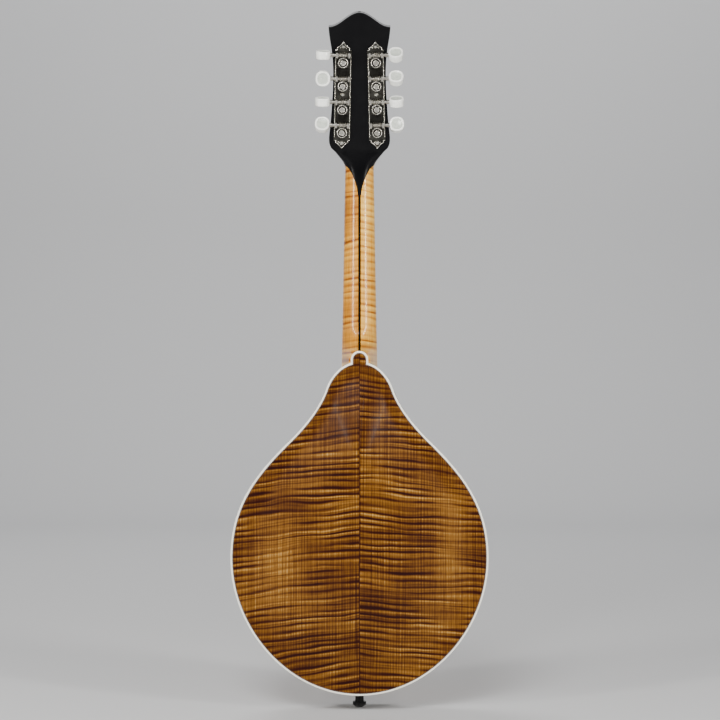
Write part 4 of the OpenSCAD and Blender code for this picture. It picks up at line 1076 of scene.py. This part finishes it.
# ---------------------------------------------------------------- tuners
POST_X, POST_Z, SPLAY, PLATE_T = 17.4, 31.3, 1.2, 1.2
AXLE_H, WORM_Z, POST_R, BUTTON_X = PLATE_T + 3.5, 4.7 + 2.4 + 0.22, 3.0, 19.6
TURN = {BASS: (30, 80, 50, 57), TREBLE: (38, 90, 0, 90)}


def tuner_pt(side, k, p):
    place = add((side * POST_X, 0, POST_Z), roty((0, 0, k * PITCH), -side * SPLAY))
    return head_pt(add(roty(p, -side * SPLAY), add(place, (0, HEAD_T, 0))))


def spun(prof, n, place, scale=None):
    """A solid turned about Y from (radius, y) points, its points put in place by a function."""
    loops = []
    for r, y in prof:
        ring = []
        for a in range(n):
            t = 2 * math.pi * a / n
            sx, sz = scale(t) if scale else (1, 1)
            ring.append(place((max(r, 0.01) * math.cos(t) * sx, y, max(r, 0.01) * math.sin(t) * sz)))
        loops.append(ring)
    return loft(loops)


def buttons():
    """Thick pearloid buttons, a little square in outline, with dished faces and a raised rim; the dished
    middles are painted a darker grey as shade.
    """
    half = [(0.0, 3.0), (3.2, 3.1), (4.7, 3.3), (5.35, 3.62), (5.75, 3.92), (6.2, 4.0), (6.7, 3.9),
            (7.05, 3.55), (7.2, 3.0), (7.2, 1.0)]
    n, power = 56, 2.35
    prof = half + [(r, -y) for r, y in half[::-1]]

    def squarish(t):
        f = (abs(math.cos(t)) ** power + abs(math.sin(t)) ** power) ** (-1 / power)
        return f, f * 1.04

    for side, word in ((BASS, "bass"), (TREBLE, "treble")):
        for k in range(4):
            def place(p):
                q = rotx(p, TURN[side][k])
                return tuner_pt(side, k, (q[0] + side * BUTTON_X, q[1] + AXLE_H, q[2] + WORM_Z))
            v, f = spun(prof, n, place, squarish)
            painted_shade_faces = [1 if i // n in (0, 1, 2, 16, 17, 18) else 0 for i in range(len(f) - 2)] + [1, 1]
            tag = f"{word}_{k + 1}"
            make("button_" + tag, v, f, "key_" + tag, ("tuner_button_" + tag,), "pearloid",
                 (M["pearloid"], M["pearl_painted_shade"]), painted_shade_faces, angle=50)


COG_TOP = AXLE_H + 1.6
LUG_X, LUG_TOP = 5.9, AXLE_H + 2.3
PLATE_END = ((8.2, 0), (8.2, 3), (6.2, 3.4), (6.6, 5.2), (3.4, 7.4), (0, 12))
RAIL_X, RAIL_Z, RAIL_LEN, BEAD_PITCH = 7.3, -4.6, 82, 1.22
LIFT = 0.02                                 # ornament starts this far above the CAD face that it lies on
COG_RIM = [(3.95, 0.02), (4.0, 0.3), (4.2, 0.48), (4.45, 0.5), (4.7, 0.4), (4.85, 0.02)]
COG_COLLAR = [(2.05, 1.42), (2.2, 1.62), (2.42, 1.66), (2.62, 1.55), (2.72, 1.38), (2.72, 0.05)]
COG_WELL = [(2.76, 0.04), (2.8, 0.07), (3.9, 0.07), (3.95, 0.03)]


def dome(r, h):
    return [(r * math.sin(rad(a)), h * math.cos(rad(a))) for a in range(0, 91, 18)] + [(r, -0.3)]


def slab_at(place, x, z, y0, y1, r=0.35):
    """A small flat piece with chamfered upper edges, centred on x = z = 0 before it is placed."""
    rows = [((x, z), y0), ((x, z), y1 - r), ((x - r, z - r), y1)]
    corners = ((-1, -1), (1, -1), (1, 1), (-1, 1))
    return loft([[place((sx * a, y, sz * b)) for sx, sz in corners] for (a, b), y in rows])


def tuner_trim():
    """The ornament on each plate: beaded rails, raised tips, bright lugs, dark panels, and the cogs' rims,
    with dark wells on the cogs painted as a reflection.
    """
    for side, word in ((BASS, "bass"), (TREBLE, "treble")):
        def on_plate(x, y, z):
            return lambda p: tuner_pt(side, 0, (p[0] + x, p[1] + y, p[2] + z))
        beads = []
        for i in range(int(RAIL_LEN / BEAD_PITCH) + 1):
            for x in (-RAIL_X, RAIL_X):
                beads.append(spun(dome(0.66, 0.72), 8, on_plate(x, 2.25, RAIL_Z + i * BEAD_PITCH)))
        for z0, s in ((77.7, 1), (-5.1, -1)):
            edge = [(x - 0.45, z0 + s * z) for x, z in PLATE_END[1:-1]]
            edge.append((0, z0 + s * (PLATE_END[-1][1] - 0.9)))
            path = edge + [(-x, z) for x, z in edge[-2::-1]]
            beads.append(tube([tuner_pt(side, 0, (x, PLATE_T + 0.15, z)) for x, z in path], 0.42, 8))
            for x in (-2.9, 2.9):
                beads.append(spun(dome(0.7, 0.6), 10, on_plate(x, PLATE_T, z0 + s * 5.2)))
        make(f"rail_beads_{word}", *joined(beads), "instrument", (), "nickel", (M["bead"],), angle=50)
        lugs, panels = [], []
        for k in range(4):
            for s in (-1, 1):
                at = on_plate(s * LUG_X, 0, k * PITCH + WORM_Z)
                lugs.append(slab_at(at, 1.0, 2.65, LUG_TOP + LIFT, LUG_TOP + 0.5, 0.3))
        for k in (0, 2):
            z = (k + 0.6) * PITCH
            panels.append(slab_at(on_plate(0, 0, z), 4.7, 3.7, PLATE_T + LIFT, PLATE_T + 0.5, 0.25))
            for s in (-1, 1):
                panels.append(slab_at(on_plate(s * 5.6, 0, z), 0.3, 3.9, PLATE_T + LIFT, PLATE_T + 0.7, 0.1))
        make(f"lug_caps_{word}", *joined(lugs), "instrument", (), "nickel", (M["nickel"],), angle=30)
        make(f"plate_panels_{word}", *joined(panels), "instrument", (), "nickel", (M["panel"],), angle=30)
        for k in range(4):
            def on_cog(p):
                return tuner_pt(side, k, (p[0], p[1] + COG_TOP, p[2]))

            def open_ring(prof, n):
                v, f = spun(prof, n, on_cog)
                return v, f[:-2]                                   # without its end caps
            tag = f"{word}_{k + 1}"
            rim = [open_ring(COG_RIM, 36), open_ring(COG_COLLAR, 28)]
            # the wells are a painted reflection: thin dark rings laid on the cogs' faces, as if mirroring a
            # dark room
            well = [open_ring(COG_WELL, 32)]
            for name, key, rings in (("cog_rim_", "bead", rim), ("cog_well_", "panel", well)):
                make(name + tag, *joined(rings), "post_" + tag, (), "nickel", (M[key],), angle=50)


# ---------------------------------------------------------------- strings
NUT_X = (-11.4, -9.4, -4.4, -2.4, 2.4, 4.4, 9.4, 11.4)
SADDLE_X = (-20.6, -18.3, -7.6, -5.3, 5.3, 7.6, 18.3, 20.6)
HOOK_X = (-17.5, -12.5, -7.5, -2.5, 2.5, 7.5, 12.5, 17.5)
STRING_R = (0.51, 0.51, 0.33, 0.33, 0.19, 0.19, 0.14, 0.14)
POSTS = ((BASS, 0), (BASS, 1), (BASS, 2), (BASS, 3), (TREBLE, 3), (TREBLE, 2), (TREBLE, 1), (TREBLE, 0))
NUT_TOP = -BOARD_T - 1.5
SADDLE = neck_pt((0, -BOARD_T - 4.3, -SCALE))
TAIL_Y, HOOK_Z, HOOK_H = TOP_Y - 3, 14.0, 3.6
TAIL_SLOPE = math.degrees(math.atan((-SADDLE[1] + TAIL_Y - HOOK_H) / (SADDLE[2] - TAIL_Z)))


def tail_pt(p):
    return add(rotx(p, TAIL_SLOPE), (0, TAIL_Y, TAIL_Z))


def between(a, b, n):
    return [tuple(lerp(x, y, i / n) for x, y in zip(a, b)) for i in range(n)]


def string_parts(i):
    r, (side, k) = STRING_R[i], POSTS[i]
    s = (SADDLE_X[i], SADDLE[1] - r, SADDLE[2])
    loop_r = 0.85 + r
    hook = [tail_pt((HOOK_X[i] + loop_r * math.sin(rad(a)), -HOOK_H, HOOK_Z + loop_r * math.cos(rad(a))))
            for a in range(-330, 1, 22)]
    tail = hook + between(tail_pt((HOOK_X[i], -HOOK_H, HOOK_Z + 2.5)), s, 12) + [s]
    n1 = neck_pt((NUT_X[i], NUT_TOP - r, 0.3))
    n2 = neck_pt((NUT_X[i] * 1.01, NUT_TOP - r + 0.15, 4.2))
    rr = POST_R + r + 0.05
    a0 = math.pi if side > 0 else 0.0
    turns, steps = (2.6 if r > 0.4 else 3.6), 20
    coil = []
    for j in range(int(turns * steps) + 1):
        t = 2 * math.pi * j / steps
        a = a0 - t if side > 0 else a0 + t
        y = -HEAD_T - 6.5 + 2.15 * r * j / steps
        coil.append(tuner_pt(side, k, (rr * math.cos(a), y, rr * math.sin(a))))
    neck_part = between(s, n1, 40) + between(n1, n2, 3) + between(n2, coil[0], 10) + coil
    return tail, neck_part


def strings():
    hook, nut, sad = tail_pt((0, 0, HOOK_Z)), neck_pt((0, NUT_TOP, 0)), SADDLE
    m = lambda p: tuple(c / 1000 for c in p)
    for name, which, node, mat, slot in (("wound", range(4), "strings_wound", "bronze", "bronze"),
                                         ("plain", range(4, 8), "strings_plain", "steel", "steel")):
        tails, necks = [], []
        for i in which:
            t, n = string_parts(i)
            tails.append(tube(t, STRING_R[i], 8))
            necks.append(tube(n, STRING_R[i], 8))
        for part, geo, start in (("tail", tails, hook), ("neck", necks, nut)):
            ob = make(f"strings_{name}_{part}", *joined(geo), None, slot=slot, mats=(M[mat],), angle=50)
            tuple(m(start))
            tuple(m(sad))
            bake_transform(ob)
            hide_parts(node)


neck()
buttons()
tuner_trim()
strings()

# ---------------------------------------------------------------- CAD pieces that stay, with their finishes
KEEP = {("raw", 30, 0): ("neck_block", "tail_block", "kerfed_linings", "tone_bars"),
        ("ribs", 32, 0): ("ribs",), ("steel", 30, 0): ("truss_rod",),
        ("black", 35, 0.3): ("truss_rod_cover",),
        ("bone", 35, 0.25): ("nut",), ("ebony", 35, 0.25): ("fingerboard", "bridge_saddle"),
        ("cream", 35, 0.15): ("fingerboard_binding",), ("fret_wire", 40, 0.2): ("frets",),
        ("pearl", 35, 0): ("position_dots",), ("neck", 35, 0.2): ("fingerboard_support",),
        ("ebony", 40, 0.35): ("bridge_base",), ("brass", 35, 0.1): ("bridge_posts",),
        ("brass", 35, 0.12): ("bridge_wheel_bass", "bridge_wheel_treble"),
        ("nickel", 35, 0.2): ("tailpiece_base",), ("cover", 35, 0.35): ("tailpiece_cover",),
        ("plastic", 40, 0.3): ("end_pin",), ("bead", 40, 0.1): ("mounting_screws",),
        ("dark_nickel", 35, 0.18): ("tuner_plate_bass", "tuner_plate_treble"),
        ("nickel", 40, 0.15): ("post_bushings",),
        ("nickel", 50, 0): [f"tuner_worm_{s}_{k}" for s in ("bass", "treble") for k in range(1, 5)],
        ("nickel", 40, 0.12): [f"tuner_post_{s}_{k}" for s in ("bass", "treble") for k in range(1, 5)]}
for (key, angle, bevel), kept in KEEP.items():      # material, sharp-edge angle, bevel in millimetres
    for node in kept:
        paint(node, key)
        polish(node, angle, bevel)
